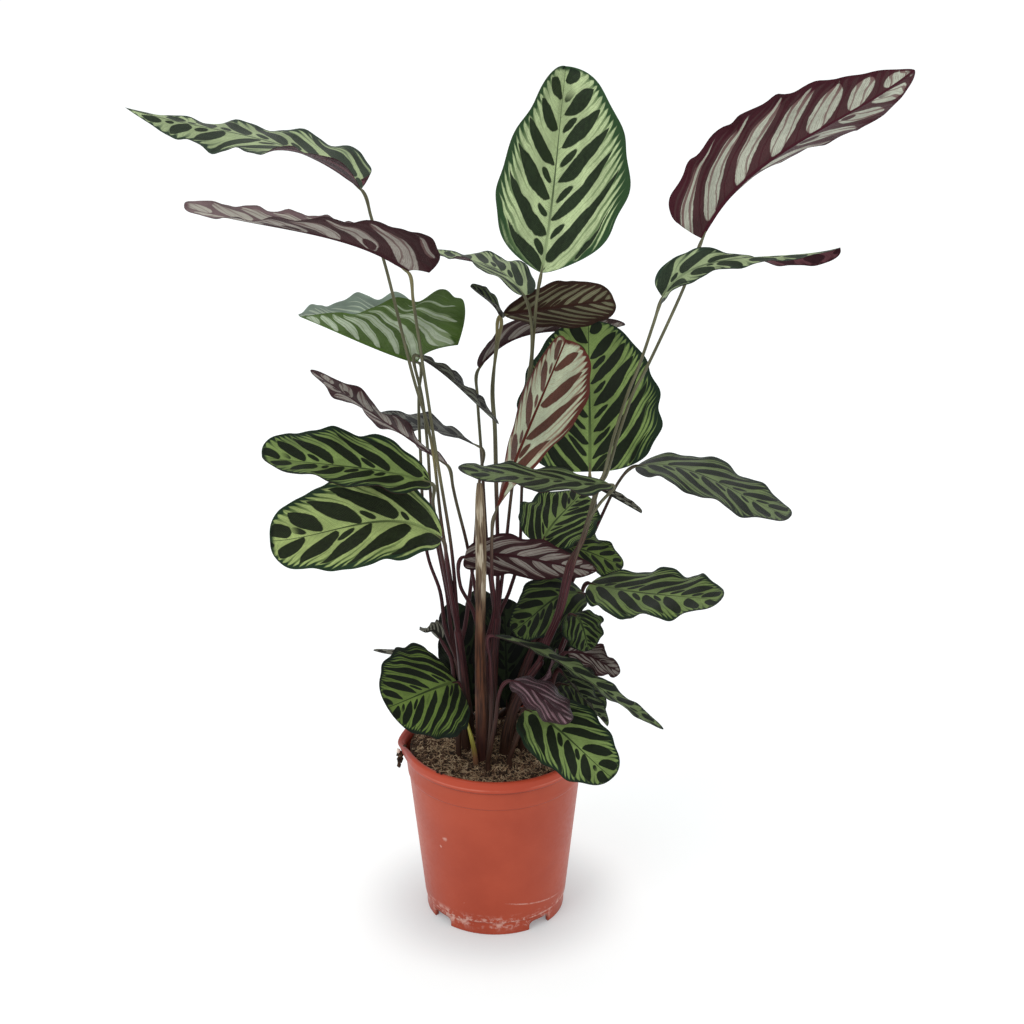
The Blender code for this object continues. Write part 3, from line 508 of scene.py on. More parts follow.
def blade_surface(leaf, rows, length):
    """The blade's middle surface with its marks: points, t, v, distance across and vein number."""
    steps = np.array([-s for s in HALF_STEPS[:0:-1]] + HALF_STEPS)
    grid = np.zeros((rows + 1, len(steps), 3))
    marks = np.zeros((rows + 1, len(steps), 4))
    for i in range(rows + 1):
        t = 0.5 - 0.5 * cos(pi * (0.02 + 0.965 * i / rows))
        point, normal, side = midrib_frame(leaf, t)
        width = half_width(leaf, t)
        for j, v in enumerate(steps):
            right = 1 if v > 0 else 0
            fold = radians(leaf.fold[right] * (1 - leaf.relax[right] * t))
            turn = tau * (leaf.count * t + leaf.phase + 0.5 * right)
            ripple = leaf.wave * abs(v) ** 2.2 * sin(turn)
            ripple += 0.16 * leaf.wave * abs(v) ** 4 * sin(2.7 * turn + 1.3)
            ripple *= min(1, 6 * t) * min(1, 5 * (1 - t)) * min(1, width / 22)
            spread = width * (1 + SCALLOP * v * v * sin(1.5 * turn + 0.8))
            out = spread * v * cos(fold)
            far = 2 * width * abs(v) / leaf.wide
            ahead = sum(c * far ** (k + 1) for k, c in enumerate(VEIN_CURVE))
            ahead *= leaf.look.slant * (0.35 + 0.65 * cos(fold))
            vein = leaf.look.rows * (t - ahead * 0.5 * leaf.wide / length)
            pleat = 0.30 * cos(tau * vein) * sin(pi * min(1, abs(v) * 1.1))
            pleat *= min(1, 8 * t) * min(1, 8 * (1 - t))
            up = spread * abs(v) * sin(fold) + ripple + pleat
            back = leaf.lobe[right] * v * v * (1 - t) ** 3
            grid[i, j] = point + side * out + normal * up - np.cross(normal, side) * back
            marks[i, j] = (t, v, width * v / ACROSS_UNIT, vein)
    return grid, marks


def make_blade(name, leaf, seed):
    length = np.linalg.norm(np.array(leaf.tip, float) - np.array(leaf.base, float))
    grid, marks = blade_surface(leaf, int(min(96, max(40, length * ROWS_PER_MM))), length)
    high, wide = grid.shape[:2]
    normal = np.cross(np.gradient(grid, axis=1), np.gradient(grid, axis=0))
    normal /= np.linalg.norm(normal, axis=2, keepdims=True)
    t, v = marks[:, :, 0:1], marks[:, :, 1:2]
    thick = BLADE_THICK * (1 - 0.45 * np.abs(v))
    strength = np.clip(1.05 - t, 0, 1) * np.clip(t * 14, 0.2, 1)
    across = marks[:, :, 2:3] * ACROSS_UNIT
    groove = 0.35 * np.exp(-(across / 1.4) ** 2) * strength
    ridge = 1.1 * np.exp(-(across / 1.3) ** 2) * strength
    top = (grid + normal * (thick / 2 - groove)).reshape(-1, 3)
    under = (grid - normal * (thick / 2 + ridge)).reshape(-1, 3)
    count = high * wide
    flat = marks.reshape(-1, 4)
    faces, kinds = [], []
    for i in range(high - 1):
        for j in range(wide - 1):
            a, b = i * wide + j, i * wide + j + 1
            c, d = b + wide, a + wide
            faces += [(a, b, c, d), (d + count, c + count, b + count, a + count)]
            kinds += [(0, j < wide // 2), (1, j < wide // 2)]
    rim = list(range(wide))
    rim += [i * wide + wide - 1 for i in range(1, high)]
    rim += [(high - 1) * wide + j for j in range(wide - 2, -1, -1)]
    rim += [i * wide for i in range(high - 2, 0, -1)]
    for p, q in zip(rim, rim[1:] + rim[:1]):
        faces.append((q, p, p + count, q + count))
        kinds.append((1, flat[p][1] + flat[q][1] < 0))
    obj = make_object(name, np.vstack([top, under]), faces)
    mesh = obj.data
    mesh.materials.append(leaf_side(name + "_upper", leaf.look, seed, ABOVE))
    mesh.materials.append(leaf_side(name + "_under", leaf.look, seed, BELOW))
    blade_map = mesh.uv_layers.new(name="blade")
    vein_map = mesh.uv_layers.new(name="veins")
    for polygon, (kind, left) in zip(mesh.polygons, kinds):
        polygon.material_index = kind
        for k in polygon.loop_indices:
            mark = flat[mesh.loops[k].vertex_index % count]
            blade_map.data[k].uv = (mark[0], mark[2])
            vein_map.data[k].uv = (mark[3] + (LEFT_VEINS if left else RIGHT_VEINS), abs(mark[1]))
    return obj


def add_object(name, data):
    obj = bpy.data.objects.new(name, data)
    bpy.context.scene.collection.objects.link(obj)
    return obj


def make_object(name, points, faces, material=None, smooth=True):
    mesh = bpy.data.meshes.new(name)
    mesh.from_pydata([tuple(float(c) * MM for c in p) for p in points], [], faces)
    mesh.update()
    if smooth:
        mesh.shade_smooth()
    if material:
        mesh.materials.append(material)
    return add_object(name, mesh)


# Stalks

def smooth_path(points, steps):
    """Points along a Catmull-Rom curve through the given ones."""
    p = [np.array(q, float) for q in points]
    p = [2 * p[0] - p[1]] + p + [2 * p[-1] - p[-2]]
    path = []
    spans = len(p) - 3
    for k in range(steps + 1):
        u = k / steps * spans
        i = min(int(u), spans - 1)
        u -= i
        a, b, c, d = p[i:i + 4]
        path.append(0.5 * (2 * b + (c - a) * u + (2 * a - 5 * b + 4 * c - d) * u ** 2
                           + (3 * b - a - 3 * c + d) * u ** 3))
    return path


def tube(path, radii, sides, start, ridge=0.0):
    """Points, faces and UVs of a closed tube whose first point has the given number."""
    path = [np.array(p, float) for p in path]
    ahead = [unit(path[min(i + 1, len(path) - 1)] - path[max(i - 1, 0)]) for i in range(len(path))]
    across = unit(np.cross(ahead[0], [0.0, 1.0, 0.0]))
    points, faces, uvs = [], [], []
    reach = 0.0
    for i, (p, d, r) in enumerate(zip(path, ahead, radii)):
        across = unit(across - d * (across @ d))
        other = np.cross(d, across)
        reach += float(np.linalg.norm(p - path[max(i - 1, 0)]))
        for k in range(sides):
            angle = tau * k / sides
            wide = r * (1 + ridge * cos(3 * angle + 0.01 * reach))
            points.append(p + wide * (across * cos(angle) + other * sin(angle)))
            uvs.append((k / sides, reach / 100))
    for i in range(len(path) - 1):
        for k in range(sides):
            a, b = start + i * sides + k, start + i * sides + (k + 1) % sides
            faces.append((a, b, b + sides, a + sides))
    faces.append(tuple(start + k for k in range(sides - 1, -1, -1)))
    last = start + (len(path) - 1) * sides
    faces.append(tuple(range(last, last + sides)))
    return points, faces, uvs


def make_tubes(name, tubes, material):
    """One object from several closed tubes, each (path, radii, sides, ridge)."""
    points, faces, uvs = [], [], []
    for path, radii, sides, ridge in tubes:
        p, f, u = tube(path, radii, sides, len(points), ridge)
        points += p
        faces += f
        uvs += u
    obj = make_object(name, points, faces, material)
    layer = obj.data.uv_layers.new(name="length")
    for loop in obj.data.loops:
        layer.data[loop.index].uv = uvs[loop.vertex_index]
    return obj


def sheath_axis(shoot, share):
    """The middle of a sheath at a share of its way up: upright in the soil, then leaning."""
    lean = share ** 2
    return np.array([shoot.root[0] + shoot.lean[0] * lean, shoot.root[1] + shoot.lean[1] * lean,
                     SOIL_EDGE_Z + shoot.tall * share])


def turn_into(path, end, along):
    """Replaces the last stretch of a path by a curve that ends in the leaf's own direction."""
    while len(path) > 3 and np.linalg.norm(path[-1] - end) < BEND_LENGTH:
        path.pop()
    start, heading = path[-1], unit(path[-1] - path[-2])
    reach = float(np.linalg.norm(end - start))
    for k in range(1, 11):
        u = k / 10
        a, b = 2 * u ** 3 - 3 * u ** 2 + 1, u ** 3 - 2 * u ** 2 + u
        c, d = -2 * u ** 3 + 3 * u ** 2, u ** 3 - u ** 2
        path.append(start * a + heading * (b * reach) + end * c + along * (d * reach))
    return path


def stalk_tube(shoot, start, leaf, through):
    base, normal, side = midrib_frame(leaf, 0.0)
    along = np.cross(normal, side)
    end = base - along * NECK_GAP
    neck = end - unit(along + unit(base - np.array(through[-1], float))) * NECK_LENGTH
    points = [sheath_axis(shoot, start), sheath_axis(shoot, 0.95)] + list(through) + [neck, end]
    path = turn_into(smooth_path(points, 8 * (len(through) + 3)), end, along)
    path += [base + along * 3.0 - normal * 0.3, base + along * 9.0 - normal * 0.6]
    run = np.cumsum([0.0] + [float(np.linalg.norm(b - a)) for a, b in zip(path, path[1:])])
    spread = min(STALK_RADIUS, 0.7 * shoot.radius) - STALK_TOP_RADIUS
    radii = [STALK_TOP_RADIUS + spread * exp(-d / STALK_TAPER) for d in run]
    for k in range(len(radii)):
        left = run[-3] - run[k]
        if left < 16:
            radii[k] *= 1 + 0.22 * sin(pi * max(0.0, left) / 16)
    radii[-3], radii[-2], radii[-1] = 1.25, 1.0, 0.45
    return path, radii, STALK_SIDES, 0.0


def stalk_material():
    g = Graph("stalks")
    where, (_, _, z) = g.place()
    u, v = g.uv("length")
    streak = g.noise(g.vector(u * 16.0, v * 3.0, 0.0), 1.0, 3.0, 0.6)
    mottle = g.noise(g.stretch(where, (1.0, 1.0, 0.25)), 90.0, 3.0)
    level = z + (mottle - 0.5) * 0.10
    olive = g.tint(g.step(streak, 0.35, 0.7), (74, 72, 54), (116, 114, 88))
    maroon = g.tint(g.step(streak, 0.35, 0.7), (40, 16, 21), (86, 42, 46))
    # Near-black brown low on the stalks, partly their own colour and partly painted shade among their feet;
    # maroon above it, then olive
    brown = g.tint(g.step(streak, 0.3, 0.7), (24, 14, 11), (70, 46, 34))
    low = g.mix(g.step(level, 0.20, 0.29), brown, maroon)
    broad = g.noise(g.stretch(where, (1.0, 1.0, 0.4)), 22.0, 2.0)
    olive = g.tint(g.step(broad, 0.56, 0.66) * 0.45, olive, (150, 136, 84))
    colour = g.mix(g.step(level, 0.36, 0.47), low, olive)
    normal = g.bump(streak, 0.35, 0.0006)
    return g.finish(colour, 0.46, normal, 0.2)


def make_shoot(name, shoot, material):
    x, y = shoot.root
    path = [(x, y, STEM_FOOT_Z), (x, y, SOIL_EDGE_Z - 4), (x, y, SOIL_EDGE_Z)]
    radii = [shoot.radius] * 3
    for k in range(1, 19):
        share = k / 18
        path.append(tuple(sheath_axis(shoot, share)))
        radii.append(shoot.radius * (1 - 0.40 * share))
    path.append(tuple(sheath_axis(shoot, 1.0 + 3.0 / shoot.tall)))
    radii.append(shoot.radius * 0.38)
    tubes = [(path, radii, 20, 0.05)]
    for k, (leaf, through) in enumerate(shoot.stalks.items()):
        tubes.append(stalk_tube(shoot, STALK_FIRST + STALK_STEP * k, LEAVES[leaf], through))
    return make_tubes(name, tubes, material)


def taper(path, radii, steps):
    points = smooth_path(path, steps)
    return points, [radii[0] + (radii[1] - radii[0]) * (k / steps) ** 1.5 for k in range(steps + 1)]


def make_spear():
    g = Graph("spear")
    where, (_, _, z) = g.place()
    u, v = g.uv("length")
    streak = g.noise(g.vector(u * 11.0, v * 2.2, 4.0), 1.0, 4.0, 0.6)
    patch = g.noise(g.vector(u * 6.0, v * 2.2, 9.0), 1.0, 3.0, 0.6)
    fine = g.noise(g.vector(u * 40.0, v * 3.0, 1.0), 1.0, 3.0, 0.6)
    dark = g.noise(g.stretch(where, (1.0, 1.0, 0.3)), 70.0, 3.0)
    low = g.tint(g.step(streak, 0.38, 0.62), (42, 24, 18), (100, 62, 42))
    high = g.tint(g.step(streak, 0.38, 0.62), (78, 60, 46), (146, 130, 104))
    colour = g.mix(g.step(z + (dark - 0.5) * 0.12, 0.31, 0.38), low, high)
    cream = g.step(z + (dark - 0.5) * 0.08, 0.340, 0.372) * g.step(z, 0.446, 0.432)
    cream = g.step(patch, 0.50, 0.57) * cream
    colour = g.tint(cream * 0.85, colour, (190, 178, 156))
    colour = g.tint(g.step(fine, 0.52, 0.64) * 0.60, colour, (72, 44, 34))
    # Darker still near the soil: partly the sheath's own colour, partly painted shade at its foot
    colour = g.tint(g.step(z, 0.235, 0.190) * 0.7, colour, (54, 26, 24))
    material = g.finish(colour, 0.6, g.bump(streak + fine * 0.5, 0.7, 0.001), 0.2)
    path, radii = taper(SPEAR_PATH, SPEAR_RADII, 40)
    for k in range(41):
        radii[k] *= 1 + 0.06 * sin(k * 0.42)
        if k > 37:
            radii[k] *= (0.94, 0.82, 0.55)[k - 38]
    return make_tubes("spear_sheath", [(path, radii, 20, 0.07)], material)


def make_sprout():
    g = Graph("sprout")
    _, (_, _, z) = g.place()
    u, v = g.uv("length")
    streak = g.noise(g.vector(u * 8.0, v * 4.0, 2.0), 1.0, 3.0)
    fresh = g.tint(g.step(streak, 0.35, 0.65), (120, 116, 34), (176, 170, 70))
    colour = g.tint(g.step(z, 0.176, 0.196), (120, 84, 60), fresh)
    material = g.finish(colour, 0.4, g.bump(streak, 0.3, 0.0006))
    path, radii = taper(SPROUT_PATH, SPROUT_RADII, 24)
    return make_tubes("sprout_shoot", [(path, radii, 14, 0.0)], material)


# Pot

POT_SIDES = 160
NOTCH_CORNER = 5.0


def pot_inner_radius(z):
    bottom, top = SKIRT_RADIUS - WALL, BODY_TOP_RADIUS - WALL
    return bottom + (top - bottom) * (z - FLOOR_Z) / (POT_HEIGHT - FLOOR_Z)


def rounded(profile, radius, steps=4):
    """The outline with each corner, except those on the axis, turned into an arc."""
    out = []
    count = len(profile)
    for k in range(count):
        a, b, c = [np.array(profile[(k + s) % count], float) for s in (-1, 0, 1)]
        if b[0] == 0:
            out.append(tuple(b))
            continue
        cut = min(radius, 0.45 * np.linalg.norm(a - b), 0.45 * np.linalg.norm(c - b))
        start, end = b + unit(a - b) * cut, b + unit(c - b) * cut
        for s in range(steps + 1):
            u = s / steps
            out.append(tuple((1 - u) ** 2 * start + 2 * u * (1 - u) * b + u ** 2 * end))
    return out


def lathe(name, profile, sides, material):
    bm = bmesh.new()
    ring = [bm.verts.new((r * MM, 0, z * MM)) for r, z in profile]
    edges = [bm.edges.new((ring[k], ring[(k + 1) % len(ring)])) for k in range(len(ring))]
    bmesh.ops.spin(bm, geom=ring + edges, cent=(0, 0, 0), axis=(0, 0, 1), angle=tau,
                   steps=sides, use_merge=True)
    bmesh.ops.remove_doubles(bm, verts=bm.verts, dist=1e-6)
    bmesh.ops.recalc_face_normals(bm, faces=bm.faces)
    mesh = bpy.data.meshes.new(name)
    bm.to_mesh(mesh)
    bm.free()
    mesh.materials.append(material)
    mesh.shade_smooth()
    return add_object(name, mesh)


def apply_modifiers(obj):
    bpy.context.view_layer.update()
    evaluated = obj.evaluated_get(bpy.context.evaluated_depsgraph_get())
    mesh = bpy.data.meshes.new_from_object(evaluated)
    obj.modifiers.clear()
    obj.data = mesh


def cut(target, cutter):
    modifier = target.modifiers.new("cut", "BOOLEAN")
    modifier.operation = "DIFFERENCE"
    modifier.object = cutter
    modifier.solver = "EXACT"
    apply_modifiers(target)
    bpy.data.objects.remove(cutter, do_unlink=True)


def pot_material():
    g = Graph("terracotta_plastic")
    where, (x, y, z) = g.place()
    broad = g.noise(where, 14.0, 4.0, 0.55)
    speck = g.noise(where, 420.0, 3.0, 0.6)
    ring = g.noise(g.vector(0.0, 0.0, z * 260.0), 1.0, 2.0)
    colour = g.tint(g.step(broad, 0.30, 0.70), (160, 66, 45), (171, 74, 51))
    colour = g.tint(g.step(speck, 0.62, 0.78) * 0.12, colour, (190, 104, 84))
    # Painted shade under the lip and in the ring's groove, a redder lip, and a thin painted highlight along
    # the lip
    lip_low, ring_z = (POT_HEIGHT - LIP_DEPTH) * MM, (BAND_Z - 3.5) * MM
    lip = g.step(z, lip_low - 0.0005, lip_low + 0.0010)
    colour = g.tint(lip * 0.35, colour, (186, 66, 42))
    painted_highlight = g.step(g.size(z - lip_low - 0.0036), 0.0012, 0.0002) * g.step(broad, 0.40, 0.60)
    colour = g.tint(painted_highlight * 0.30, colour, (230, 150, 132))
    shade = g.step(g.size(z - (lip_low - 0.0006)), 0.0022, 0.0002)
    shade = g.most(shade * 0.70, g.step(g.size(z - ring_z), 0.0013, 0.0003) * 0.32)
    colour = g.tint(shade, colour, (104, 38, 28))
    bruise = g.step(x, -0.074, -0.084) * g.step(z, lip_low, lip_low + 0.004) * g.step(broad, 0.30, 0.50)
    colour = g.tint(bruise * 0.65, colour, (142, 84, 84))
    # Dust and scuffs on the skirt and along its step, two chalk marks and a long scratch
    scuff = g.noise(g.stretch(where, (90.0, 90.0, 210.0)), 1.0, 4.0, 0.7)
    grit = g.noise(where, 230.0, 4.0, 0.7)
    patch = g.noise(where, 70.0, 3.0, 0.6)
    skirt = g.step(g.size(z - 0.0130), 0.0115, 0.0030)
    dust = skirt * g.step(scuff * 0.4 + grit * 0.4 + patch * 0.3, 0.53, 0.66) * 0.60
    step_line = g.step(g.size(z - 0.0148), 0.0018, 0.0004)
    dust = g.most(dust, step_line * g.step(grit, 0.44, 0.58) * 0.6)
    dust = g.most(dust, g.step(grit, 0.70, 0.78) * g.step(z, 0.060, 0.020) * 0.5)
    front = g.step(y, -0.010, -0.020)
    for mark_x, mark_z, size in ((-0.047, 0.103, 0.0024), (-0.051, 0.092, 0.0014)):
        away = ((x - mark_x) ** 2.0 + (z - mark_z) ** 2.0) ** 0.5
        dust = g.most(dust, g.step(away + (grit - 0.5) * 0.006, size, size * 0.3) * front * 0.42)
    along = g.step(x, 0.008, 0.020) * g.step(x, 0.064, 0.052)
    scratch = g.step(g.size(z - 0.0370 + (x - 0.011) * 0.22), 0.0011, 0.0002)
    dust = g.most(dust, scratch * along * front * g.step(grit, 0.35, 0.55) * 0.45)
    colour = g.tint(dust, colour, (222, 190, 178))
    normal = g.bump(speck * 0.25 + ring * 0.5 + broad * 0.3, 0.20, 0.0006)
    rough = g.step(grit, 0.35, 0.7, 0.34, 0.44)
    return g.finish(colour, rough, normal, 0.16)


def make_pot():
    lip_low = POT_HEIGHT - LIP_DEPTH
    inner = pot_inner_radius
    profile = [
        (FOOT_RADIUS, 0), (SKIRT_RADIUS - 0.8, SKIRT_Z - 0.2), (SKIRT_RADIUS + 0.7, SKIRT_Z + 1.0),
        (BAND_RADIUS - 1.3, BAND_Z - 4), (BAND_RADIUS - 0.2, BAND_Z - 3), (BAND_RADIUS + 0.2, BAND_Z + 1),
        (BODY_TOP_RADIUS - 0.4, lip_low - 1.2), (LIP_RADIUS - 1.6, lip_low - 0.6),
        (LIP_RADIUS - 0.6, lip_low + 2.5), (LIP_RADIUS, POT_HEIGHT - 2.0),
        (LIP_RADIUS - 1.4, POT_HEIGHT), (BODY_TOP_RADIUS - 0.6, POT_HEIGHT - 0.2),
        (inner(POT_HEIGHT - 4) + 0.2, POT_HEIGHT - 4),
        (inner(FLOOR_Z + FLOOR_THICK), FLOOR_Z + FLOOR_THICK),
        (0.0, FLOOR_Z + FLOOR_THICK), (0.0, FLOOR_Z), (FOOT_RADIUS - FOOT_WALL, FLOOR_Z),
        (FOOT_RADIUS - FOOT_WALL, 0),
    ]
    pot = lathe("nursery_pot", rounded(profile, 0.9, 3), POT_SIDES, pot_material())
    for k, bearing in enumerate(NOTCH_ANGLES):
        angle = radians(bearing)
        direction = np.array([cos(angle), sin(angle), 0.0])
        across = np.array([-sin(angle), cos(angle), 0.0])
        inside, outside = FOOT_RADIUS - FOOT_WALL - 6, SKIRT_RADIUS + 4
        wide, high, corner = NOTCH_WIDTH / 2, NOTCH_HEIGHT, NOTCH_CORNER
        outline = [(-wide, -2), (wide, -2)]
        for middle, quarter in ((wide - corner, 0), (corner - wide, 1)):
            for s in range(6):
                turn = pi / 2 * (quarter + s / 5)
                outline.append((middle + corner * cos(turn), high - corner + corner * sin(turn)))
        points = [direction * r + across * u + np.array([0, 0, z])
                  for r in (inside, outside) for u, z in outline]
        n = len(outline)
        faces = [tuple(range(n - 1, -1, -1)), tuple(range(n, 2 * n))]
        faces += [(i, (i + 1) % n, n + (i + 1) % n, n + i) for i in range(n)]
        cut(pot, make_object(f"notch_{k}", points, faces))
        x, y = DRAIN_CIRCLE * direction[:2]
        path = [(x, y, FLOOR_Z - 3), (x, y, FLOOR_Z + FLOOR_THICK + 3)]
        p, f, u = tube(path, [DRAIN_RADIUS] * 2, 24, 0)
        cut(pot, make_object(f"drain_{k}", p, f))
    pot.data.shade_smooth()
    # The lip is bent out a little on the left, and the wall isn't quite round
    for vertex in pot.data.vertices:
        x, y, z = vertex.co
        angle = degrees(atan2(y, x)) % 360
        high = min(1.0, max(0.0, (z - 0.150) / 0.028))
        flare = 0.0058 * exp(-((angle - 178) / 12) ** 2) * high ** 2
        wobble = 0.00035 * sin(radians(angle) * 3 + 30 * z) * min(1.0, z / 0.1)
        radius = hypot(x, y)
        if radius > 0.06:
            scale = 1 + (flare + wobble) / radius
            vertex.co = Vector((x * scale, y * scale, z - 0.9 * flare * high))
    return pot


# Soil

LITTER_RADIUS = pot_inner_radius(SOIL_EDGE_Z) - 4.0
CRUMBS = 520
SOIL_RINGS, SOIL_SIDES = 64, 200


def soil_material():
    g = Graph("peat")
    where, _ = g.place()
    clump = g.noise(where, 160.0, 5.0, 0.7)
    grain = g.noise(where, 700.0, 4.0, 0.7)
    colour = g.tint(g.step(clump, 0.35, 0.62), (16, 10, 8), (66, 46, 34))
    colour = g.tint(g.step(grain, 0.52, 0.70) * 0.8, colour, (140, 112, 86))
    normal = g.bump(clump + grain * 0.6, 1.0, 0.002)
    return g.finish(colour, 0.92, normal, 0.2)


def soil_height(x, y):
    """The lumpy surface's height over a point of the soil."""
    radius = pot_inner_radius(SOIL_EDGE_Z) - GAP
    share = min(1.0, hypot(x, y) / radius)
    place = Vector((x * 0.09, y * 0.09, 0.0))
    lumps = 2.0 * noise.fractal(place, 0.9, 2.1, 5) + 1.2 * noise.noise(Vector((x * 0.5, y * 0.5, 3.0)))
    return SOIL_EDGE_Z + SOIL_CROWN * (1 - share ** 2) + lumps * min(1.0, 6 * (1 - share)) + 0.2


def soil_spot(draw):
    """A random place on the soil, away from its edge."""
    r, angle = LITTER_RADIUS * sqrt(draw.random()), draw.uniform(0, tau)
    return r * cos(angle), r * sin(angle)


def circle(radius):
    """Points around the axis."""
    angles = [tau * k / SOIL_SIDES for k in range(SOIL_SIDES)]
    return [(radius * cos(angle), radius * sin(angle)) for angle in angles]


def make_soil():
    low = FLOOR_Z + FLOOR_THICK + GAP
    radius = pot_inner_radius(SOIL_EDGE_Z) - GAP
    rings, sides = SOIL_RINGS, SOIL_SIDES
    points = [(0.0, 0.0, soil_height(0, 0))]
    for i in range(1, rings + 1):
        points += [(x, y, soil_height(x, y)) for x, y in circle(radius * i / rings)]
    points += [(x, y, low) for x, y in circle(pot_inner_radius(low) - GAP)]
    faces = [(0, 1 + k, 1 + (k + 1) % sides) for k in range(sides)]
    for i in range(rings):
        for k in range(sides):
            a, b = 1 + i * sides + k, 1 + i * sides + (k + 1) % sides
            faces.append((a, a + sides, b + sides, b))
    last = 1 + rings * sides
    faces.append(tuple(last + k for k in range(sides - 1, -1, -1)))
    return make_object("peat_fill", points, faces, soil_material())


# name, seed, how many, greatest length, greatest lift, and the dark and light colours of the fibres
FIBRES = [("fibres_dark", 7, 1300, 7.0, 0.7, (52, 34, 24), (96, 70, 50)),
          ("fibres_brown", 8, 2000, 9.0, 0.9, (108, 80, 58), (158, 128, 98)),
          ("fibres_straw", 9, 1900, 11.0, 1.3, (168, 140, 106), (222, 198, 162))]


def fibre_material(name, dark, light):
    g = Graph(name)
    where, _ = g.place()
    tone = g.noise(where, 120.0, 2.0)
    fleck = g.noise(where, 900.0, 2.0)
    colour = g.tint(g.step(tone, 0.35, 0.65), dark, light)
    colour = g.tint(g.step(fleck, 0.5, 0.7) * 0.4, colour, (60, 42, 30))
    return g.finish(colour, 0.85, g.bump(fleck, 0.5, 0.0005))


def make_fibres(name, seed, count, longest, lift, material):
    """Straw fibres lying over each other on the soil."""
    draw = random.Random(seed)
    tubes = []
    for _ in range(count):
        x, y = soil_spot(draw)
        heading, bend = draw.uniform(0, tau), draw.uniform(-1.1, 1.1)
        size = draw.uniform(1.8, longest)
        rise, start = draw.uniform(-0.2, lift), draw.uniform(0.1, 0.7)
        path = []
        for s in range(5):
            path.append((x, y, soil_height(x, y) + start + rise * s * 0.5))
            x += size / 4 * cos(heading)
            y += size / 4 * sin(heading)
            heading += bend
        if hypot(x, y) > LITTER_RADIUS + 2:
            continue
        thick = draw.uniform(0.14, 0.36)
        tubes.append((path, [thick * 0.6, thick, thick, thick, thick * 0.4], 4, 0.0))
    return make_tubes(name, tubes, material)


def add_lump(points, faces, draw, centre, sizes, fineness, least):
    """Adds a rough closed ball whose points lie at least to 2 - least times its half-sizes out."""
    start = len(points)
    bm = bmesh.new()
    bmesh.ops.create_icosphere(bm, subdivisions=fineness, radius=1.0)
    for vertex in bm.verts:
        jitter = least + 2 * (1 - least) * draw.random()
        points.append(np.array(centre) + np.array(vertex.co) * jitter * np.array(sizes))
    faces += [tuple(start + v.index for v in face.verts) for face in bm.faces]
    bm.free()


def make_lumps(name, lumps, material):
    """Rough closed lumps, each with its middle and its half-sizes."""
    draw = random.Random(5)
    points, faces = [], []
    for centre, sizes in lumps:
        add_lump(points, faces, draw, centre, sizes, 2, 0.8)
    return make_object(name, points, faces, material)


def make_rim_dirt():
    """Dried peat that hangs from the bent lip on the left, and crumbs on the lip."""
    lumps = [((-90.2, -9.0, 165.2), (3.6, 3.4, 3.6)), ((-90.2, -9.5, 159.2), (3.2, 3.0, 4.0)),
             ((-91.2, -10.0, 154.0), (2.2, 2.2, 2.8)), ((-52.6, -67.8, 179.2), (1.5, 1.6, 1.2)),
             ((-49.0, -70.4, 178.9), (1.1, 1.2, 0.9)), ((-84.8, -18.0, 179.0), (1.9, 1.4, 1.2))]
    return make_lumps("rim_dirt", lumps, soil_material())


def make_chip():
    g = Graph("chipped_plastic")
    where, _ = g.place()
    grain = g.noise(where, 500.0, 3.0)
    colour = g.tint(g.step(grain, 0.4, 0.6), (226, 206, 190), (248, 240, 230))
    material = g.finish(colour, 0.7, g.bump(grain, 0.5, 0.0005))
    return make_lumps("rim_chip", [((-91.6, -11.0, 169.6), (1.8, 2.4, 2.4))], material)


def make_crumbs():
    draw = random.Random(11)
    points, faces = [], []
    for _ in range(CRUMBS):
        x, y = soil_spot(draw)
        size = draw.uniform(0.6, 2.1)
        centre = (x, y, soil_height(x, y) + 0.25 * size)
        add_lump(points, faces, draw, centre, (size, size, 0.7 * size), 1, 0.75)
    return make_object("soil_crumbs", points, faces, soil_material(), smooth=False)


# Stage

FLOOR_HALF = 9000.0
GROUND_Z = -0.2  # just under the pot's foot
LIGHT_AIM = Vector((0.0, 0.0, 0.40))


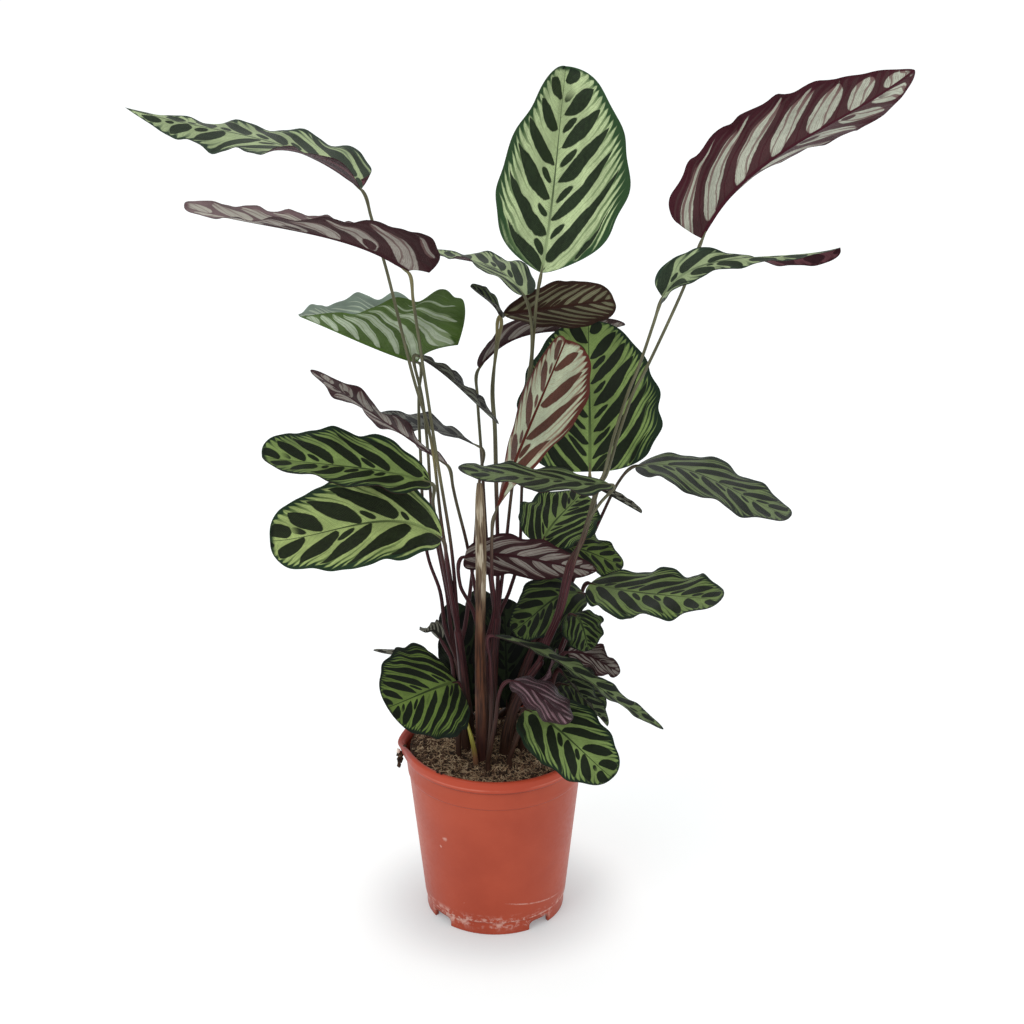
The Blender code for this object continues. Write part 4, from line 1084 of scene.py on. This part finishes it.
def make_stage():
    scene = bpy.context.scene
    scene.view_settings.view_transform = "Standard"
    scene.view_settings.look = "None"
    g = Graph("floor")
    where, (x, y, _) = g.place()
    tone = g.noise(where, 0.8, 1.0)
    away = (x ** 2.0 + y ** 2.0) ** 0.5
    # The floor's glow is dimmed and cooled within about 15 cm of the pot's axis: a painted contact shadow
    # around its foot
    glow_and_painted_shadow = g.mix(g.step(away, 0.070, 0.150), (0.42, 0.46, 0.48), (1.0, 1.0, 1.0))
    colour = g.mix(g.step(tone, 0.3, 0.7), (0.695, 0.73, 0.73), (0.70, 0.735, 0.735))
    g.finish(colour, 0.9, None, 0.0, Emission_Color=glow_and_painted_shadow, Emission_Strength=0.40)
    corners = [(-1, -1), (1, -1), (1, 1), (-1, 1)]
    points = [(FLOOR_HALF * a, FLOOR_HALF * b, GROUND_Z) for a, b in corners]
    floor = make_object("floor", points, [(0, 1, 2, 3)], g.material, smooth=False)
    world = bpy.data.worlds.new("studio")
    world.use_nodes = True
    background = world.node_tree.nodes["Background"]
    background.inputs["Color"].default_value = (1.0, 1.0, 1.0, 1.0)
    background.inputs["Strength"].default_value = 0.83
    scene.world = world
    add_light("key", (-2.9, -3.4, 4.2), 2.6, 68.0)
    add_light("fill", (3.6, -2.8, 3.0), 3.0, 5.0)
    add_light("top", (0.6, 1.8, 5.2), 2.6, 28.0)


def add_light(name, place, size, power):
    data = bpy.data.lights.new(name, "AREA")
    data.shape = "SQUARE"
    data.size = size
    data.energy = power
    obj = add_object(name, data)
    obj.location = place
    obj.rotation_euler = (LIGHT_AIM - Vector(place)).to_track_quat("-Z", "Y").to_euler()


SENSOR = 36.0
FOCAL_PIXELS, FRAME_PIXELS = 2394.0, 1024.0  # the photo's focal length and its width
LOOKING_DOWN = 23.63  # degrees


def make_camera():
    data = bpy.data.cameras.new("camera")
    data.sensor_width = SENSOR
    data.lens = SENSOR * FOCAL_PIXELS / FRAME_PIXELS
    camera = add_object("camera", data)
    camera.location = (0.0162, -2.0, 1.287)
    camera.rotation_euler = (radians(90.0 - LOOKING_DOWN), 0.0, 0.0)
    bpy.context.scene.camera = camera


def stand_for(obj, node):
    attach(obj, "root")
    if node:
        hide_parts(node)


FIRST_SEED, SEED_STEP = 3.1, 7.7  # which keep the leaves' patterns apart


def main():
    for number, (name, leaf) in enumerate(LEAVES.items()):
        blade = make_blade("blade" + name[4:], leaf, FIRST_SEED + SEED_STEP * number)
        stand_for(blade, name)
    stalks = stalk_material()
    for name, shoot in SHOOTS.items():
        stand_for(make_shoot("stalks" + name[5:], shoot, stalks), name)
    stand_for(make_spear(), "spear")
    stand_for(make_sprout(), "sprout")
    stand_for(make_pot(), "pot")
    stand_for(make_soil(), "soil")
    for name, seed, count, longest, lift, dark, light in FIBRES:
        fibres = make_fibres(name, seed, count, longest, lift, fibre_material(name, dark, light))
        stand_for(fibres, None)
    stand_for(make_rim_dirt(), None)
    stand_for(make_chip(), None)
    stand_for(make_crumbs(), None)
    make_stage()
    make_camera()


main()
